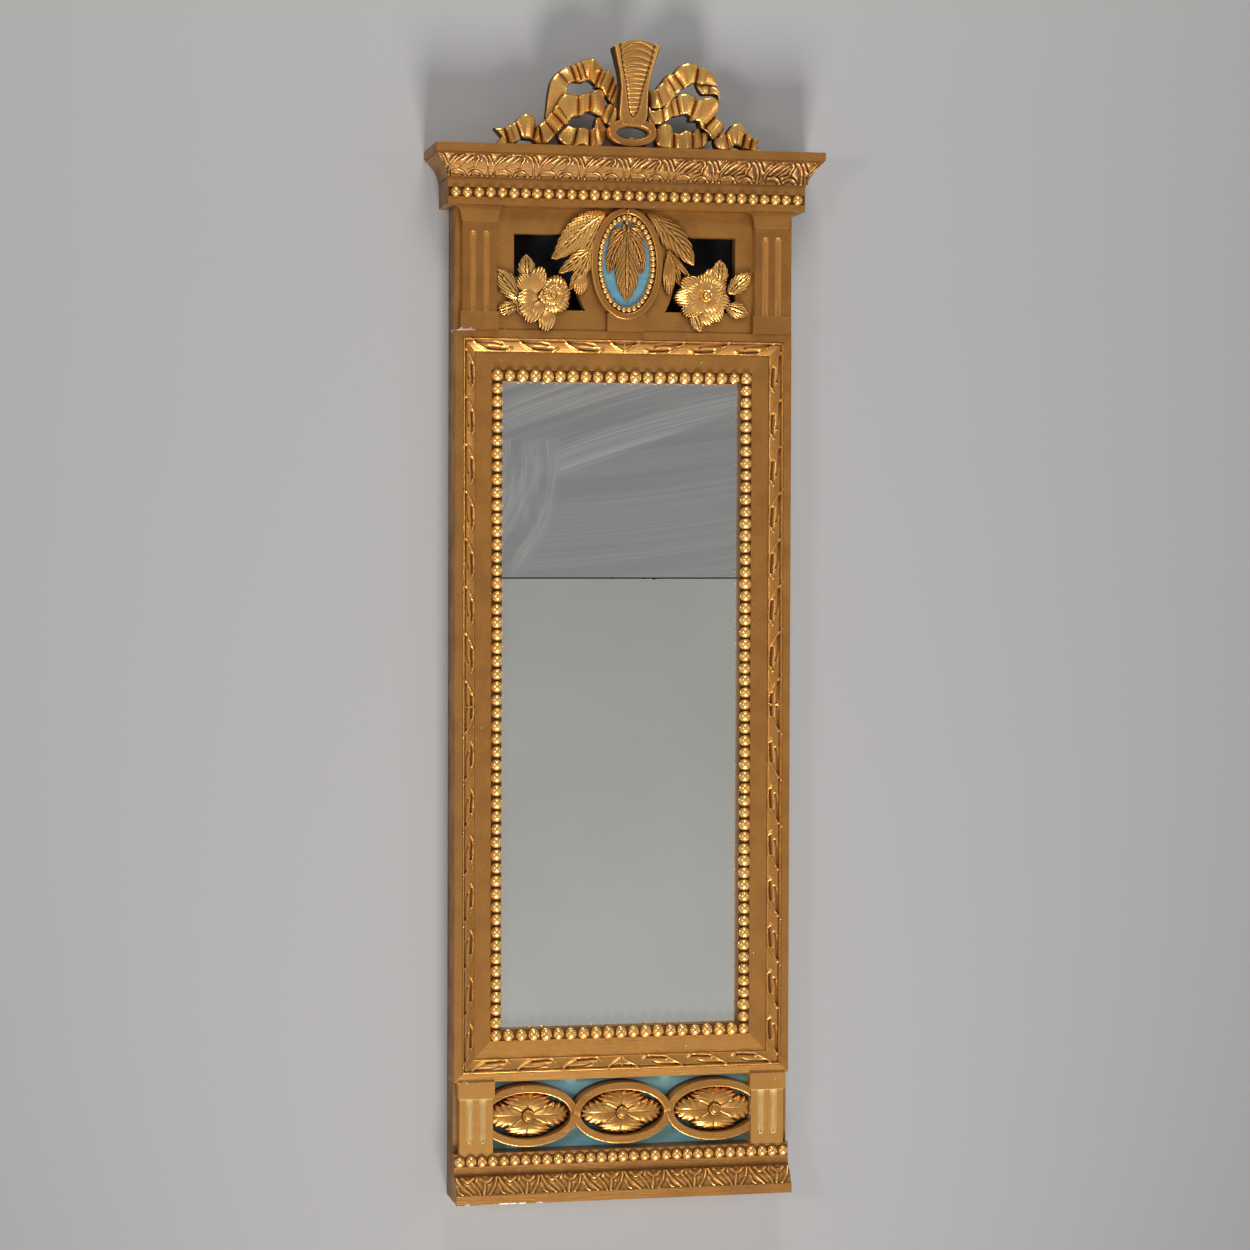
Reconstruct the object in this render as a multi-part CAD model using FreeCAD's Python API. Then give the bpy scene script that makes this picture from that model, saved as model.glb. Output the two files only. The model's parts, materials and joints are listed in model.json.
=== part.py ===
"""Gilded neoclassical wall mirror, about 1.1 m high.

Frame of the model, in millimetres: X runs to the right, Y runs into the wall and Z runs up.
The wall is the plane Y = 0, so a depth of 20 from the wall is Y = -20. The origin is the middle
of the lower back rail's back face, where the mirror's foot lies against the wall.
The mirror is three stacked boxes: a base with interlaced ovals, the frame round two panes of
old mirror glass, and a pierced frieze under the cornice, with a carved ribbon bow on top.
"""
import FreeCAD, Part
import math
import os

Vector = FreeCAD.Vector

# Overall sizes
body_width = 330.0
base_height = 114.0
frame_height = 710.0
frieze_height = 116.0
cornice_height = 54.0
crest_height = 97.0
overrun = 5.0

# Boards of the three boxes, with depths measured from the wall
side_board = 16.0
back_rail_height = 40.0
back_rail_thickness = 8.0
base_box_depth = 22.0
frame_notch_depth = 10.0
frieze_side_depth = 19.0
frieze_box_depth = 27.0
bottom_board_thickness = 8.0
top_board_thickness = 8.0
cross_rail_height = 16.0

# Rails round the glass: distances inward from the outer edge and depths from the wall
rail_width = 47.5
frame_depth = 28.0
rail_back_depth = 4.0
outer_fascia = 7.5
ribbon_band = 13.0
ribbon_seat_high = 26.0
ribbon_seat_low = 20.0
flat_depth_outer = 22.0
flat_depth_inner = 20.5
bead_seat_width = 10.5
bead_seat_depth = 19.0
rebate_width = 7.0

# Carved ribbon on the rails
ribbon_edge = 1.1
ribbon_crown_high = 28.0
ribbon_crown_middle = 26.8
ribbon_crown_low = 22.8
ribbon_pitch = 44.6
ribbon_groove_width = 1.8
ribbon_groove_depth = 1.3
ribbon_slant = 26.0

# Beads, as domes on thin strips
sight_bead_count = 20
sight_bead_rows = 51
sight_bead_radius = 4.5
sight_bead_height = 4.2
bead_strip_thickness = 1.0
bead_strip_width = 9.2
row_bead_count = 31
row_bead_radius = 4.6
row_bead_height = 4.3
dome_sides = 6
boss_sides = 10
oval_steps = 40
dome_waist_share = 0.74
dome_waist_height_share = 0.62

# Glass and what is behind it
glass_depth = 14.2
glass_thickness = 3.0
backing_thickness = 6.0
glass_clearance = 0.5
seam_height = 476.0
point_length = 10.0
point_width = 5.0
point_thickness = 1.0
points_per_stile = 4
points_per_rail = 2

# Base: moulding, recess, pilasters and interlaced ovals
base_moulding_height = 46.0
base_fillet_height = 9.0
base_fillet_depth = 38.5
base_leaf_top = 25.0
base_leaf_foot_depth = 36.5
base_leaf_head_depth = 29.5
base_leaf_middle_depth = 35.4
base_fascia_depth = 28.5
base_fascia_top = 34.0
base_bead_top = 43.5
base_bead_seat_depth = 27.0
recess_depth = 12.0
base_pilaster_inset = 5.0
base_pilaster_width = 32.5
base_pilaster_depth = 28.5
base_cap_height = 15.5
base_cap_overhang = 1.5
oval_spacing_share = 0.724
oval_width_share = 0.531
oval_half_height = 29.6
oval_band = 7.9
oval_depth = 28.0
rosette_depth = 25.5
rosette_lobe_share = 0.07
rosette_notch_share = 0.2
rosette_notch_power = 2
rosette_boss_radius = 4.6
rosette_boss_height = 3.4

# Flutes
flute_radius = 3.8
flute_sides = 12
flute_tip_share = 0.3
flute_end_share = 0.76
flute_spacing = 12.8
flute_drop = 2.6

# Frieze: pierced panel, pilasters and medallion
opening_end_margin = 17.8
opening_low = 19.3
opening_high = 91.0
opening_oval_width_share = 0.46
opening_oval_half_height = 72.0
frieze_pilaster_inset = 5.5
frieze_pilaster_width = 33.0
frieze_pilaster_relief = 5.5
capital_height = 15.0
capital_overhang = 1.0
capital_flare = 6.0
capital_relief = 6.5
capital_steps = 4
plinth_height = 16.4
plinth_overhang = 2.0
plinth_relief = 6.5
flute_head_room = 9.0
medallion_height = 63.8
medallion_width_share = 0.3
medallion_half_height = 52.0
medallion_band = 5.0
medallion_rim_relief = 6.0
medallion_ground_thickness = 2.0
medallion_bead_count = 44
medallion_bead_radius = 2.4
medallion_bead_height = 2.3
medallion_bead_inset = 3.0
medallion_leaf_height = 70.0
medallion_leaf_width_share = 0.267
medallion_leaf_relief = 3.6
block_width_share = 0.173
block_height = 17.2
block_relief = 5.0
back_panel_thickness = 3.0
back_panel_depth = 4.0
back_panel_height = 94.0

# Carved flowers and leaves beside the medallion
flower_offset_share = 0.713
flower_height = 34.0
flower_radius_share = 0.267
flower_petals = 7
petal_steps = 6
petal_power = 0.7
petal_notch_share = 0.28
flower_relief = 7.0
flower_boss_radius = 5.2
flower_boss_height = 3.0
leaf_relief = 4.5
spray_relief = 4.0

# Cornice: heights above its foot and projections from the box
cornice_fascia_out = 9.5
cornice_bead_out = 7.5
cornice_bead_low = 6.5
cornice_bead_high = 15.5
cornice_fascia_top = 24.5
cornice_leaf_foot_out = 10.5
cornice_leaf_head_out = 21.0
cornice_leaf_top = 44.0
cornice_fillet_out = 22.5
cornice_fillet_top = 46.0
cornice_crown_out = 24.0
cornice_leaf_shares = [(0.12, 0.3), (0.45, 0.62), (0.86, 0.86)]

# Crest: ribbon bows, ring and horn, with heights above the cornice
bow_near = 30.0
bow_far = 41.0
ring_near = 41.0
ring_far = 50.0
ring_half_width = 23.7
ring_half_height = 14.2
ring_opening_half_width = 14.8
ring_opening_half_height = 7.2
horn_foot = 19.5
horn_thickness = 9.0
horn_lean = 8.0
horn_rim = 3.4
horn_rim_relief = 1.6
horn_rib_count = 11
horn_rib_width = 2.2
horn_rib_sink = 0.5
horn_field_share = 0.78
horn_rib_share = 0.94
horn_rib_arch_share = 0.22

# Hanging strap and ring at the back
batten_depth = 9.0
batten_foot = 112.0
batten_height = 38.0
strap_width = 16.0
strap_height = 18.0
strap_thickness = 1.2
knuckle_radius = 3.0
knuckle_width = 12.0
knuckle_sides = 12
ring_wire = 1.5
ring_flat = 1.6
ring_bore_clearance = 0.06
ring_axis_gap = 2.4
ring_inner_half_width = 13.0
ring_drop = 26.0
ring_arc_steps = 10
ring_sides = 8
screw_head_radius = 2.6
screw_head_height = 1.0
screw_radius = 1.4
screw_length = 9.0
screw_rise = 8.0
screw_gap = 7.0

# Widths, levels and lines worked out from the sizes above
underside = -back_rail_height / 2
base_top = underside + base_height
frame_top = base_top + frame_height
frieze_top = frame_top + frieze_height
cornice_top = frieze_top + cornice_height
half_body = body_width / 2
base_pilaster_inner = half_body - base_pilaster_inset - base_pilaster_width
oval_spacing = base_pilaster_inner * oval_spacing_share
oval_half_width = oval_spacing * oval_width_share
frieze_pilaster_inner = half_body - frieze_pilaster_inset - frieze_pilaster_width
opening_half_width = frieze_pilaster_inner - opening_end_margin
opening_oval_half_width = opening_half_width * opening_oval_width_share
medallion_half_width = opening_half_width * medallion_width_share
medallion_leaf_width = opening_half_width * medallion_leaf_width_share
block_half_width = opening_half_width * block_width_share
flower_offset = opening_half_width * flower_offset_share
flower_radius = opening_half_width * flower_radius_share
inner_face = half_body - side_board
moulding_top = underside + base_moulding_height
flat_inner_edge = rail_width - bead_seat_width
ribbon_inner_edge = outer_fascia + ribbon_band
bead_line = flat_inner_edge + bead_seat_width / 2
oval_level = (moulding_top + base_top) / 2
medallion_level = frame_top + medallion_height
hang_level = frame_top + batten_foot + batten_height / 2
hang_depth = batten_depth - ring_axis_gap

# Outlines of the bows: distances from the crest's middle and heights above the cornice
left_bow_outline = [
    (-130.1, 18.4), (-121.5, 11.0), (-128.7, 3.0), (-118.1, 2.4), (-111.3, 4.0), (-103.5, 8.6),
    (-97.7, 6.0), (-91.9, 3.6), (-84.2, 3.6), (-76.4, 5.6), (-72.0, 9.4), (-68.0, 5.0),
    (-59.0, 0.0), (-28.9, 0.0), (-22.0, 6.0), (-8.0, 10.0), (0.0, 22.0), (0.0, 58.0),
    (-10.1, 58.1), (-14.0, 65.7), (-20.8, 73.0), (-26.6, 72.0), (-29.5, 81.4), (-35.3, 83.2),
    (-42.1, 82.2), (-56.7, 75.6), (-71.7, 68.0), (-75.0, 62.0), (-76.2, 44.5), (-78.2, 32.9),
    (-88.4, 24.8), (-93.7, 31.3), (-99.5, 32.7), (-105.4, 28.9), (-115.1, 20.9), (-121.0, 19.4)]
left_bow_upper_hole = [
    (-66.0, 50.4), (-61.0, 56.6), (-52.0, 60.0), (-41.2, 60.6), (-36.4, 58.2), (-40.0, 54.0),
    (-47.0, 50.6), (-57.0, 49.3)]
left_bow_lower_hole = [
    (-56.9, 26.6), (-50.1, 29.7), (-44.2, 33.5), (-37.4, 34.4), (-33.0, 31.5), (-31.7, 25.0),
    (-34.7, 20.0), (-42.5, 20.0), (-52.0, 22.0)]
right_bow_outline = [
    (130.2, 16.2), (126.0, 10.2), (130.7, 3.4), (122.4, 2.6), (114.5, 3.2), (104.8, 8.4),
    (98.9, 4.2), (91.0, 3.2), (83.2, 5.0), (76.4, 11.0), (70.0, 3.0), (62.0, 0.0), (30.0, 0.0),
    (22.0, 6.0), (8.0, 10.0), (0.0, 22.0), (0.0, 58.0), (21.0, 57.9), (27.8, 62.2), (35.0, 71.1),
    (42.5, 71.1), (46.5, 77.3), (53.0, 81.4), (62.0, 82.7), (67.9, 79.3), (75.7, 77.0),
    (82.0, 71.7), (87.4, 59.7), (90.3, 53.1), (90.2, 42.8), (87.3, 34.3), (93.6, 27.8),
    (95.0, 23.6), (102.9, 28.7), (109.7, 29.7), (115.0, 25.1), (118.5, 18.9)]
right_bow_upper_hole = [
    (53.2, 55.7), (57.1, 60.5), (66.8, 60.0), (83.0, 54.6), (82.4, 50.6), (71.7, 49.6),
    (61.9, 51.0)]
right_bow_lower_hole = [
    (38.4, 28.3), (44.3, 32.1), (52.1, 33.6), (66.7, 28.6), (68.6, 23.3), (61.8, 20.5),
    (50.1, 18.5), (42.2, 20.6)]
horn_outline = [
    (-7.5, 23.6), (0.0, 19.5), (7.5, 23.6), (10.4, 38.0), (12.8, 52.0), (17.6, 70.0),
    (22.6, 88.6), (11.5, 95.0), (0.0, 97.0), (-11.5, 95.0), (-22.6, 88.6), (-17.6, 70.0),
    (-12.8, 52.0), (-10.4, 38.0)]

# Leaves: foot, tip and breadth, as distances from the flower or from the mirror's middle line,
# drawn for an opening of the half width that comes first
drawn_half_width = 108.7
flower_leaves = [
    ((6.0, 8.0), (17.0, 36.0), 17.0), ((10.0, 2.0), (47.5, 23.5), 19.0),
    ((14.0, -6.0), (44.0, -14.0), 15.0), ((2.0, -10.0), (-1.0, -32.0), 14.0),
    ((8.0, -8.0), (19.0, -24.0), 16.0)]
spray_leaves = [
    ((12.0, 49.4), (69.0, 1.4), 25.0), ((29.0, 31.4), (50.0, -16.6), 15.0),
    ((32.0, 11.4), (37.0, -29.0), 13.0), ((26.0, 40.0), (46.0, 4.0), 18.0)]
leaf_width_shares = [(0.12, 0.46), (0.3, 0.85), (0.5, 1.0), (0.7, 0.86), (0.88, 0.5)]
hanging_leaf_shares = [
    (0.0, 0.5), (0.09, 0.47), (0.08, 0.36), (0.42, 0.34), (0.34, 0.24), (0.5, 0.12),
    (0.36, 0.04), (0.46, -0.1), (0.3, -0.16), (0.32, -0.3), (0.16, -0.32), (0.0, -0.5)]


def board(left, right, near, far, low, high):
    """A plain board between two depths from the wall."""
    return Part.makeBox(right - left, far - near, high - low, Vector(left, -far, low))


def outline_wire(points, depth):
    """A closed outline facing the room, at one depth from the wall."""
    corners = [Vector(x, -depth, z) for x, z in points]
    return Part.makePolygon(corners + corners[:1])


def plate(points, near, far):
    """A flat piece cut to an outline, between two depths from the wall."""
    face = Part.Face(outline_wire(points, near))
    return face.extrude(Vector(0, near - far, 0))


def oval_plate(level, half_width, half_height, near, far, centre=0.0):
    """A flat oval piece between two depths from the wall, with a chord for each step round it."""
    points = []
    for step in range(oval_steps):
        turn = 2 * math.pi * step / oval_steps
        points.append((centre + half_width * math.cos(turn), level + half_height * math.sin(turn)))
    return plate(points, near, far)


def closed_solid(faces):
    """A solid from the flat faces that bound it."""
    shell = Part.makeShell(faces)
    shell.sewShape()
    solid = Part.makeSolid(shell)
    if solid.Volume < 0:
        solid.reverse()
    return solid


def facet(corners):
    """One flat face."""
    return Part.Face(Part.makePolygon(corners + corners[:1]))


def skin(rings):
    """The flat facets between rings of corners that answer one another."""
    faces = []
    for low, high in zip(rings[:-1], rings[1:]):
        for one in range(len(low)):
            two = (one + 1) % len(low)
            faces.append(facet([low[one], low[two], high[two], high[one]]))
    return faces


def ring_of_corners(centre, across, up, radius, sides):
    """The corners of a regular polygon round a point."""
    corners = []
    for step in range(sides):
        turn = 2 * math.pi * step / sides
        corners.append(centre + across * (radius * math.cos(turn)) + up * (radius * math.sin(turn)))
    return corners


def dome(foot, radius, height, sides):
    """A bead or boss: a faceted dome that stands on foot and faces the room."""
    facing = Vector(0, -1, 0)
    across = Vector(1, 0, 0)
    up = Vector(0, 0, 1)
    base = ring_of_corners(foot, across, up, radius, sides)
    waist_centre = foot + facing * (height * dome_waist_height_share)
    waist = ring_of_corners(waist_centre, across, up, radius * dome_waist_share, sides)
    apex = foot + facing * height
    faces = [facet(base)] + skin([base, waist])
    for one in range(sides):
        faces.append(facet([waist[one], waist[(one + 1) % sides], apex]))
    return closed_solid(faces)


def joined(first, others):
    """Pieces that are cut from one block of wood."""
    whole = first.fuse(others)
    return whole.removeSplitter()


def save(node, shape):
    """One file for each piece, named as the piece."""
    shape.exportStep("parts/" + node + ".step")


def flute(centre, low, high, depth, round_low, round_high):
    """The cutter for one flute, with a round end where it stops inside the shaft."""
    across = Vector(1, 0, 0)
    outward = Vector(0, 1, 0)
    axis_depth = depth + flute_radius - flute_drop
    stations = []
    if round_low:
        stations += [(low, flute_tip_share), (low + flute_radius * flute_tip_share, flute_end_share)]
        stations.append((low + flute_radius, 1))
    else:
        stations.append((low - overrun, 1))
    if round_high:
        stations.append((high - flute_radius, 1))
        stations += [(high - flute_radius * flute_tip_share, flute_end_share), (high, flute_tip_share)]
    else:
        stations.append((high + overrun, 1))
    rings = []
    for level, share in stations:
        middle = Vector(centre, -axis_depth, level)
        rings.append(ring_of_corners(middle, across, outward, flute_radius * share, flute_sides))
    return closed_solid([facet(rings[0]), facet(rings[-1])] + skin(rings))


def fluted(shaft, inner, width, low, high, depth, round_low, round_high):
    """A pilaster shaft with its two flutes cut."""
    middle = (abs(inner) + width / 2) * (1 if inner > 0 else -1)
    for side in (-1, 1):
        centre = middle + side * flute_spacing / 2
        shaft = shaft.cut(flute(centre, low, high, depth, round_low, round_high))
    return shaft


def side_boards():
    """The boards at the sides of the three boxes, and the boards that tie them at the back."""
    upper_top = cornice_top - top_board_thickness
    for name, side in (("left", -1), ("right", 1)):
        edges = sorted((side * inner_face, side * half_body))
        save("lower_side_" + name, board(edges[0], edges[1], 0, base_box_depth, underside, base_top))
        save("middle_side_" + name, board(edges[0], edges[1], 0, frame_notch_depth, base_top, frame_top))
        save("upper_side_" + name, board(edges[0], edges[1], 0, frieze_side_depth, frame_top, upper_top))


def back_rails():
    """The rails and boards between the sides, out of sight when the mirror hangs."""
    left = -inner_face
    right = inner_face
    rail_top = underside + back_rail_height
    save("lower_back_rail", board(left, right, 0, back_rail_thickness, underside, rail_top))
    floor_top = underside + bottom_board_thickness
    save("bottom_board", board(left, right, back_rail_thickness, base_box_depth, underside, floor_top))
    low_rail = board(left, right, 0, frame_notch_depth, base_top, base_top + cross_rail_height)
    high_rail = board(left, right, 0, frame_notch_depth, frame_top - cross_rail_height, frame_top)
    save("cross_rails", Part.makeCompound([low_rail, high_rail]))
    deck_low = cornice_top - top_board_thickness
    save("top_board", board(-half_body, half_body, 0, frieze_box_depth, deck_low, cornice_top))


def frame_sides():
    """The four rails round the glass: name, how a section lies on each, and the mitred outline."""
    low = base_top
    high = frame_top
    outer = [(-half_body, low), (half_body, low), (half_body, high), (-half_body, high)]
    inset = rail_width
    inner = [(-half_body + inset, low + inset), (half_body - inset, low + inset),
             (half_body - inset, high - inset), (-half_body + inset, high - inset)]
    along_rail = Vector(body_width, 0, 0)
    along_stile = Vector(0, 0, frame_height)
    places = {
        "bottom": (lambda inward, depth: Vector(-half_body, -depth, low + inward), along_rail),
        "right": (lambda inward, depth: Vector(half_body - inward, -depth, low), along_stile),
        "top": (lambda inward, depth: Vector(-half_body, -depth, high - inward), along_rail),
        "left": (lambda inward, depth: Vector(-half_body + inward, -depth, low), along_stile)}
    sides = []
    for step, name in enumerate(("bottom", "right", "top", "left")):
        after = (step + 1) % len(outer)
        mitred = [outer[step], outer[after], inner[after], inner[step]]
        sides.append((name, places[name][0], places[name][1], mitred))
    return sides


def mitred_bar(section, place, along, mitred):
    """A moulding along one side of the frame, cut at 45 degrees at both ends."""
    corners = [place(inward, depth) for inward, depth in section]
    bar = Part.Face(Part.makePolygon(corners + corners[:1])).extrude(along)
    return bar.common(plate(mitred, -overrun, frame_depth + overrun))


def frame_rails():
    """The rails: outer fascia, sloping ribbon seat, flat, bead seat and the rebate for the glass."""
    section = [
        (0, frame_notch_depth), (0, frame_depth), (outer_fascia, frame_depth),
        (outer_fascia, ribbon_seat_high), (ribbon_inner_edge, ribbon_seat_low),
        (ribbon_inner_edge, flat_depth_outer), (flat_inner_edge, flat_depth_inner),
        (flat_inner_edge, bead_seat_depth), (rail_width, bead_seat_depth),
        (rail_width, glass_depth), (rail_width - rebate_width, glass_depth),
        (rail_width - rebate_width, rail_back_depth), (side_board, rail_back_depth),
        (side_board, frame_notch_depth)]
    names = {"bottom": "frame_rail_bottom", "top": "frame_rail_top",
             "left": "frame_stile_left", "right": "frame_stile_right"}
    for name, place, along, mitred in frame_sides():
        save(names[name], mitred_bar(section, place, along, mitred))


def ribbon_surface(inward):
    """Depth of the ribbon's face across the band, as a straight fall."""
    fall = ribbon_crown_high - ribbon_crown_low
    return ribbon_crown_high - fall * (inward - outer_fascia) / ribbon_band


def ribbon_grooves(place, along, length):
    """Slanting grooves between the turns of the ribbon, mirrored about the middle of the side."""
    step_along = Vector(along)
    step_along.normalize()
    turns = int(length / 2 / ribbon_pitch)
    rise = ribbon_band / math.tan(math.radians(ribbon_slant))
    cutters = []
    for half in (-1, 1):
        for turn in range(turns):
            middle = length / 2 + half * (turn * ribbon_pitch + ribbon_pitch / 2)
            rings = []
            for lift, spread in ((-ribbon_groove_depth, ribbon_groove_width / 4),
                                 (overrun, ribbon_groove_width / 2)):
                corners = []
                for across, side in ((-1, -1), (-1, 1), (1, 1), (1, -1)):
                    inward = outer_fascia + ribbon_band * (1 + across) / 2
                    shift = half * across * rise / 2 + side * spread
                    depth = ribbon_surface(inward) + lift
                    corners.append(place(inward, depth) + step_along * (middle + shift))
                rings.append(Part.makePolygon(corners + corners[:1]))
            cutters.append(Part.makeLoft(rings, True, True))
    return cutters


def ribbons():
    """The twisted ribbon carved round the frame, as four mitred strips on the sloping seat."""
    section = [
        (outer_fascia, ribbon_seat_high), (outer_fascia + ribbon_edge, ribbon_crown_high),
        (outer_fascia + ribbon_band / 2, ribbon_crown_middle),
        (ribbon_inner_edge - ribbon_edge, ribbon_crown_low), (ribbon_inner_edge, ribbon_seat_low)]
    for name, place, along, mitred in frame_sides():
        strip = mitred_bar(section, place, along, mitred)
        for cutter in ribbon_grooves(place, along, along.Length):
            strip = strip.cut(cutter)
        save("ribbon_" + name, strip)


def sight_beads():
    """The pearl row round the glass, one mitred strip on each side with its beads."""
    half_strip = bead_strip_width / 2
    low = bead_seat_depth
    high = bead_seat_depth + bead_strip_thickness
    section = [(bead_line - half_strip, low), (bead_line - half_strip, high),
               (bead_line + half_strip, high), (bead_line + half_strip, low)]
    for name, place, along, mitred in frame_sides():
        strip = mitred_bar(section, place, along, mitred)
        length = along.Length
        count = sight_bead_count if name in ("bottom", "top") else sight_bead_rows
        pitch = (length - 2 * bead_line) / count
        step_along = Vector(along)
        step_along.normalize()
        cut_to = plate(mitred, 0, frame_depth + overrun)
        beads = []
        for step in range(count + 1):
            foot = place(bead_line, high) + step_along * (bead_line + step * pitch)
            bead = dome(foot, sight_bead_radius, sight_bead_height, dome_sides)
            if step in (0, count):
                bead = bead.common(cut_to)
            beads.append(bead)
        save("beads_" + name, strip.fuse(beads))


def glass():
    """Two panes that meet at a bare seam, the board behind them and the points that hold it."""
    half = half_body - rail_width + rebate_width - glass_clearance
    low = base_top + rail_width - rebate_width + glass_clearance
    high = frame_top - rail_width + rebate_width - glass_clearance
    seam = base_top + seam_height
    back = glass_depth - glass_thickness
    save("lower_glass", board(-half, half, back, glass_depth, low, seam))
    save("upper_glass", board(-half, half, back, glass_depth, seam, high))
    board_back = back - backing_thickness
    save("backing_board", board(-half, half, board_back, back, low, high))
    save("glazing_points", glazing_points(board_back))


def glazing_points(board_back):
    """Small flat steel points in the rebate, which lie on the backing board."""
    wall = half_body - rail_width + rebate_width
    near = board_back - point_thickness
    points = []
    for side in (-1, 1):
        edges = sorted((side * wall, side * (wall - point_length)))
        for step in range(points_per_stile):
            level = base_top + frame_height * (step + 1) / (points_per_stile + 1)
            points.append(board(edges[0], edges[1], near, board_back, level, level + point_width))
    rebate_low = base_top + rail_width - rebate_width
    rebate_high = frame_top - rail_width + rebate_width
    for edge, inward in ((rebate_low, 1), (rebate_high, -1)):
        levels = sorted((edge, edge + inward * point_length))
        for step in range(points_per_rail):
            centre = -half_body + body_width * (step + 1) / (points_per_rail + 1)
            points.append(board(centre, centre + point_width, near, board_back, levels[0], levels[1]))
    return Part.makeCompound(points)


def base_moulding():
    """The moulding across the foot: fillet, leaf cyma, fascia and the seat of the pearl row."""
    level = underside
    leaf_middle = (base_fillet_height + base_leaf_top) / 2
    profile = [
        (base_box_depth, 0), (base_fillet_depth, 0), (base_fillet_depth, base_fillet_height),
        (base_leaf_foot_depth, base_fillet_height), (base_leaf_middle_depth, leaf_middle),
        (base_leaf_head_depth, base_leaf_top), (base_fascia_depth, base_leaf_top),
        (base_fascia_depth, base_fascia_top), (base_bead_seat_depth, base_fascia_top),
        (base_bead_seat_depth, base_bead_top), (base_fascia_depth, base_bead_top),
        (base_fascia_depth, base_moulding_height), (base_box_depth, base_moulding_height)]
    corners = [Vector(-half_body, -depth, level + height) for depth, height in profile]
    bar = Part.Face(Part.makePolygon(corners + corners[:1])).extrude(Vector(body_width, 0, 0))
    save("base_moulding", bar)
    floor_top = level + bottom_board_thickness
    front = board(-inner_face, inner_face, recess_depth, base_box_depth, floor_top, moulding_top)
    save("base_front_board", front)
    bead_low = level + base_fascia_top
    save("base_beads", bead_row(half_body, bead_low, level + base_bead_top, base_bead_seat_depth))


def bead_row(half_length, low, high, seat_depth):
    """A straight pearl row on its strip."""
    strip_front = seat_depth + bead_strip_thickness
    strip = board(-half_length, half_length, seat_depth, strip_front, low, high)
    pitch = 2 * half_length / row_bead_count
    beads = []
    for step in range(row_bead_count):
        foot = Vector(-half_length + pitch * (step + 0.5), -strip_front, (low + high) / 2)
        beads.append(dome(foot, row_bead_radius, row_bead_height, dome_sides))
    return strip.fuse(beads)


def base_pilasters():
    """Fluted blocks at the ends of the base, each with its plain cap."""
    for name, side in (("left", -1), ("right", 1)):
        outer = base_pilaster_inner + base_pilaster_width
        front_edges = sorted((side * base_pilaster_inner, side * outer))
        inner_edges = sorted((side * base_pilaster_inner, side * inner_face))
        shaft = board(front_edges[0], front_edges[1], base_box_depth, base_pilaster_depth,
                      moulding_top, base_top)
        heart = board(inner_edges[0], inner_edges[1], recess_depth, base_box_depth,
                      moulding_top, base_top)
        cap_foot = base_top - base_cap_height
        shaft = fluted(shaft, side * base_pilaster_inner, base_pilaster_width,
                       moulding_top + flute_head_room, cap_foot, base_pilaster_depth, True, False)
        cap_edges = sorted((side * (base_pilaster_inner - base_cap_overhang),
                            side * (outer + base_cap_overhang)))
        cap_front = base_pilaster_depth + base_cap_overhang
        cap = board(cap_edges[0], cap_edges[1], base_box_depth, cap_front, cap_foot, base_top)
        save("base_pilaster_" + name, joined(shaft, [heart, cap]))


def base_panel():
    """The blue board at the back of the recess."""
    low = underside + bottom_board_thickness
    save("base_panel", board(-inner_face, inner_face, back_rail_thickness, recess_depth, low, base_top))


def guilloche():
    """Three oval rings that run into one another, cut from one board between the pilasters."""
    rings = []
    for step in (-1, 0, 1):
        centre = step * oval_spacing
        ring = oval_plate(oval_level, oval_half_width, oval_half_height, recess_depth, oval_depth, centre)
        rings.append(ring)
    band = rings[0].fuse(rings[1:])
    for step in (-1, 0, 1):
        centre = step * oval_spacing
        inner_width = oval_half_width - oval_band
        inner_height = oval_half_height - oval_band
        hole = oval_plate(oval_level, inner_width, inner_height,
                          recess_depth - overrun, oval_depth + overrun, centre)
        band = band.cut(hole)
    reach = base_pilaster_inner
    cap_foot = base_top - base_cap_height
    cap_reach = reach - base_cap_overhang
    below_caps = board(-reach, reach, recess_depth, oval_depth, moulding_top, cap_foot)
    between_caps = board(-cap_reach, cap_reach, recess_depth, oval_depth, cap_foot, base_top)
    save("guilloche", band.common(below_caps.fuse(between_caps)))


def rosette_outline(centre):
    """Four leaves round a boss, each with lobed edges, inside the oval."""
    points = []
    half_width = oval_half_width - oval_band
    half_height = oval_half_height - oval_band
    for step in range(oval_steps):
        turn = 2 * math.pi * step / oval_steps
        between = abs(math.sin(2 * turn)) ** rosette_notch_power
        lobe = rosette_lobe_share * (step % 2) * (1 - abs(math.cos(2 * turn)) ** rosette_notch_power)
        reach = 1 - rosette_notch_share * between - lobe
        points.append((centre + half_width * reach * math.cos(turn),
                       oval_level + half_height * reach * math.sin(turn)))
    return points


def rosettes():
    """The three carved rosettes in the ovals."""
    carved = []
    reach = base_pilaster_inner
    between = board(-reach, reach, recess_depth, oval_depth + overrun, moulding_top, base_top)
    for step in (-1, 0, 1):
        centre = step * oval_spacing
        leafwork = plate(rosette_outline(centre), recess_depth, rosette_depth)
        foot = Vector(centre, -rosette_depth, oval_level)
        boss = dome(foot, rosette_boss_radius, rosette_boss_height, boss_sides)
        carved.append(leafwork.fuse(boss).common(between))
    save("rosettes", Part.makeCompound(carved))


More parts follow.
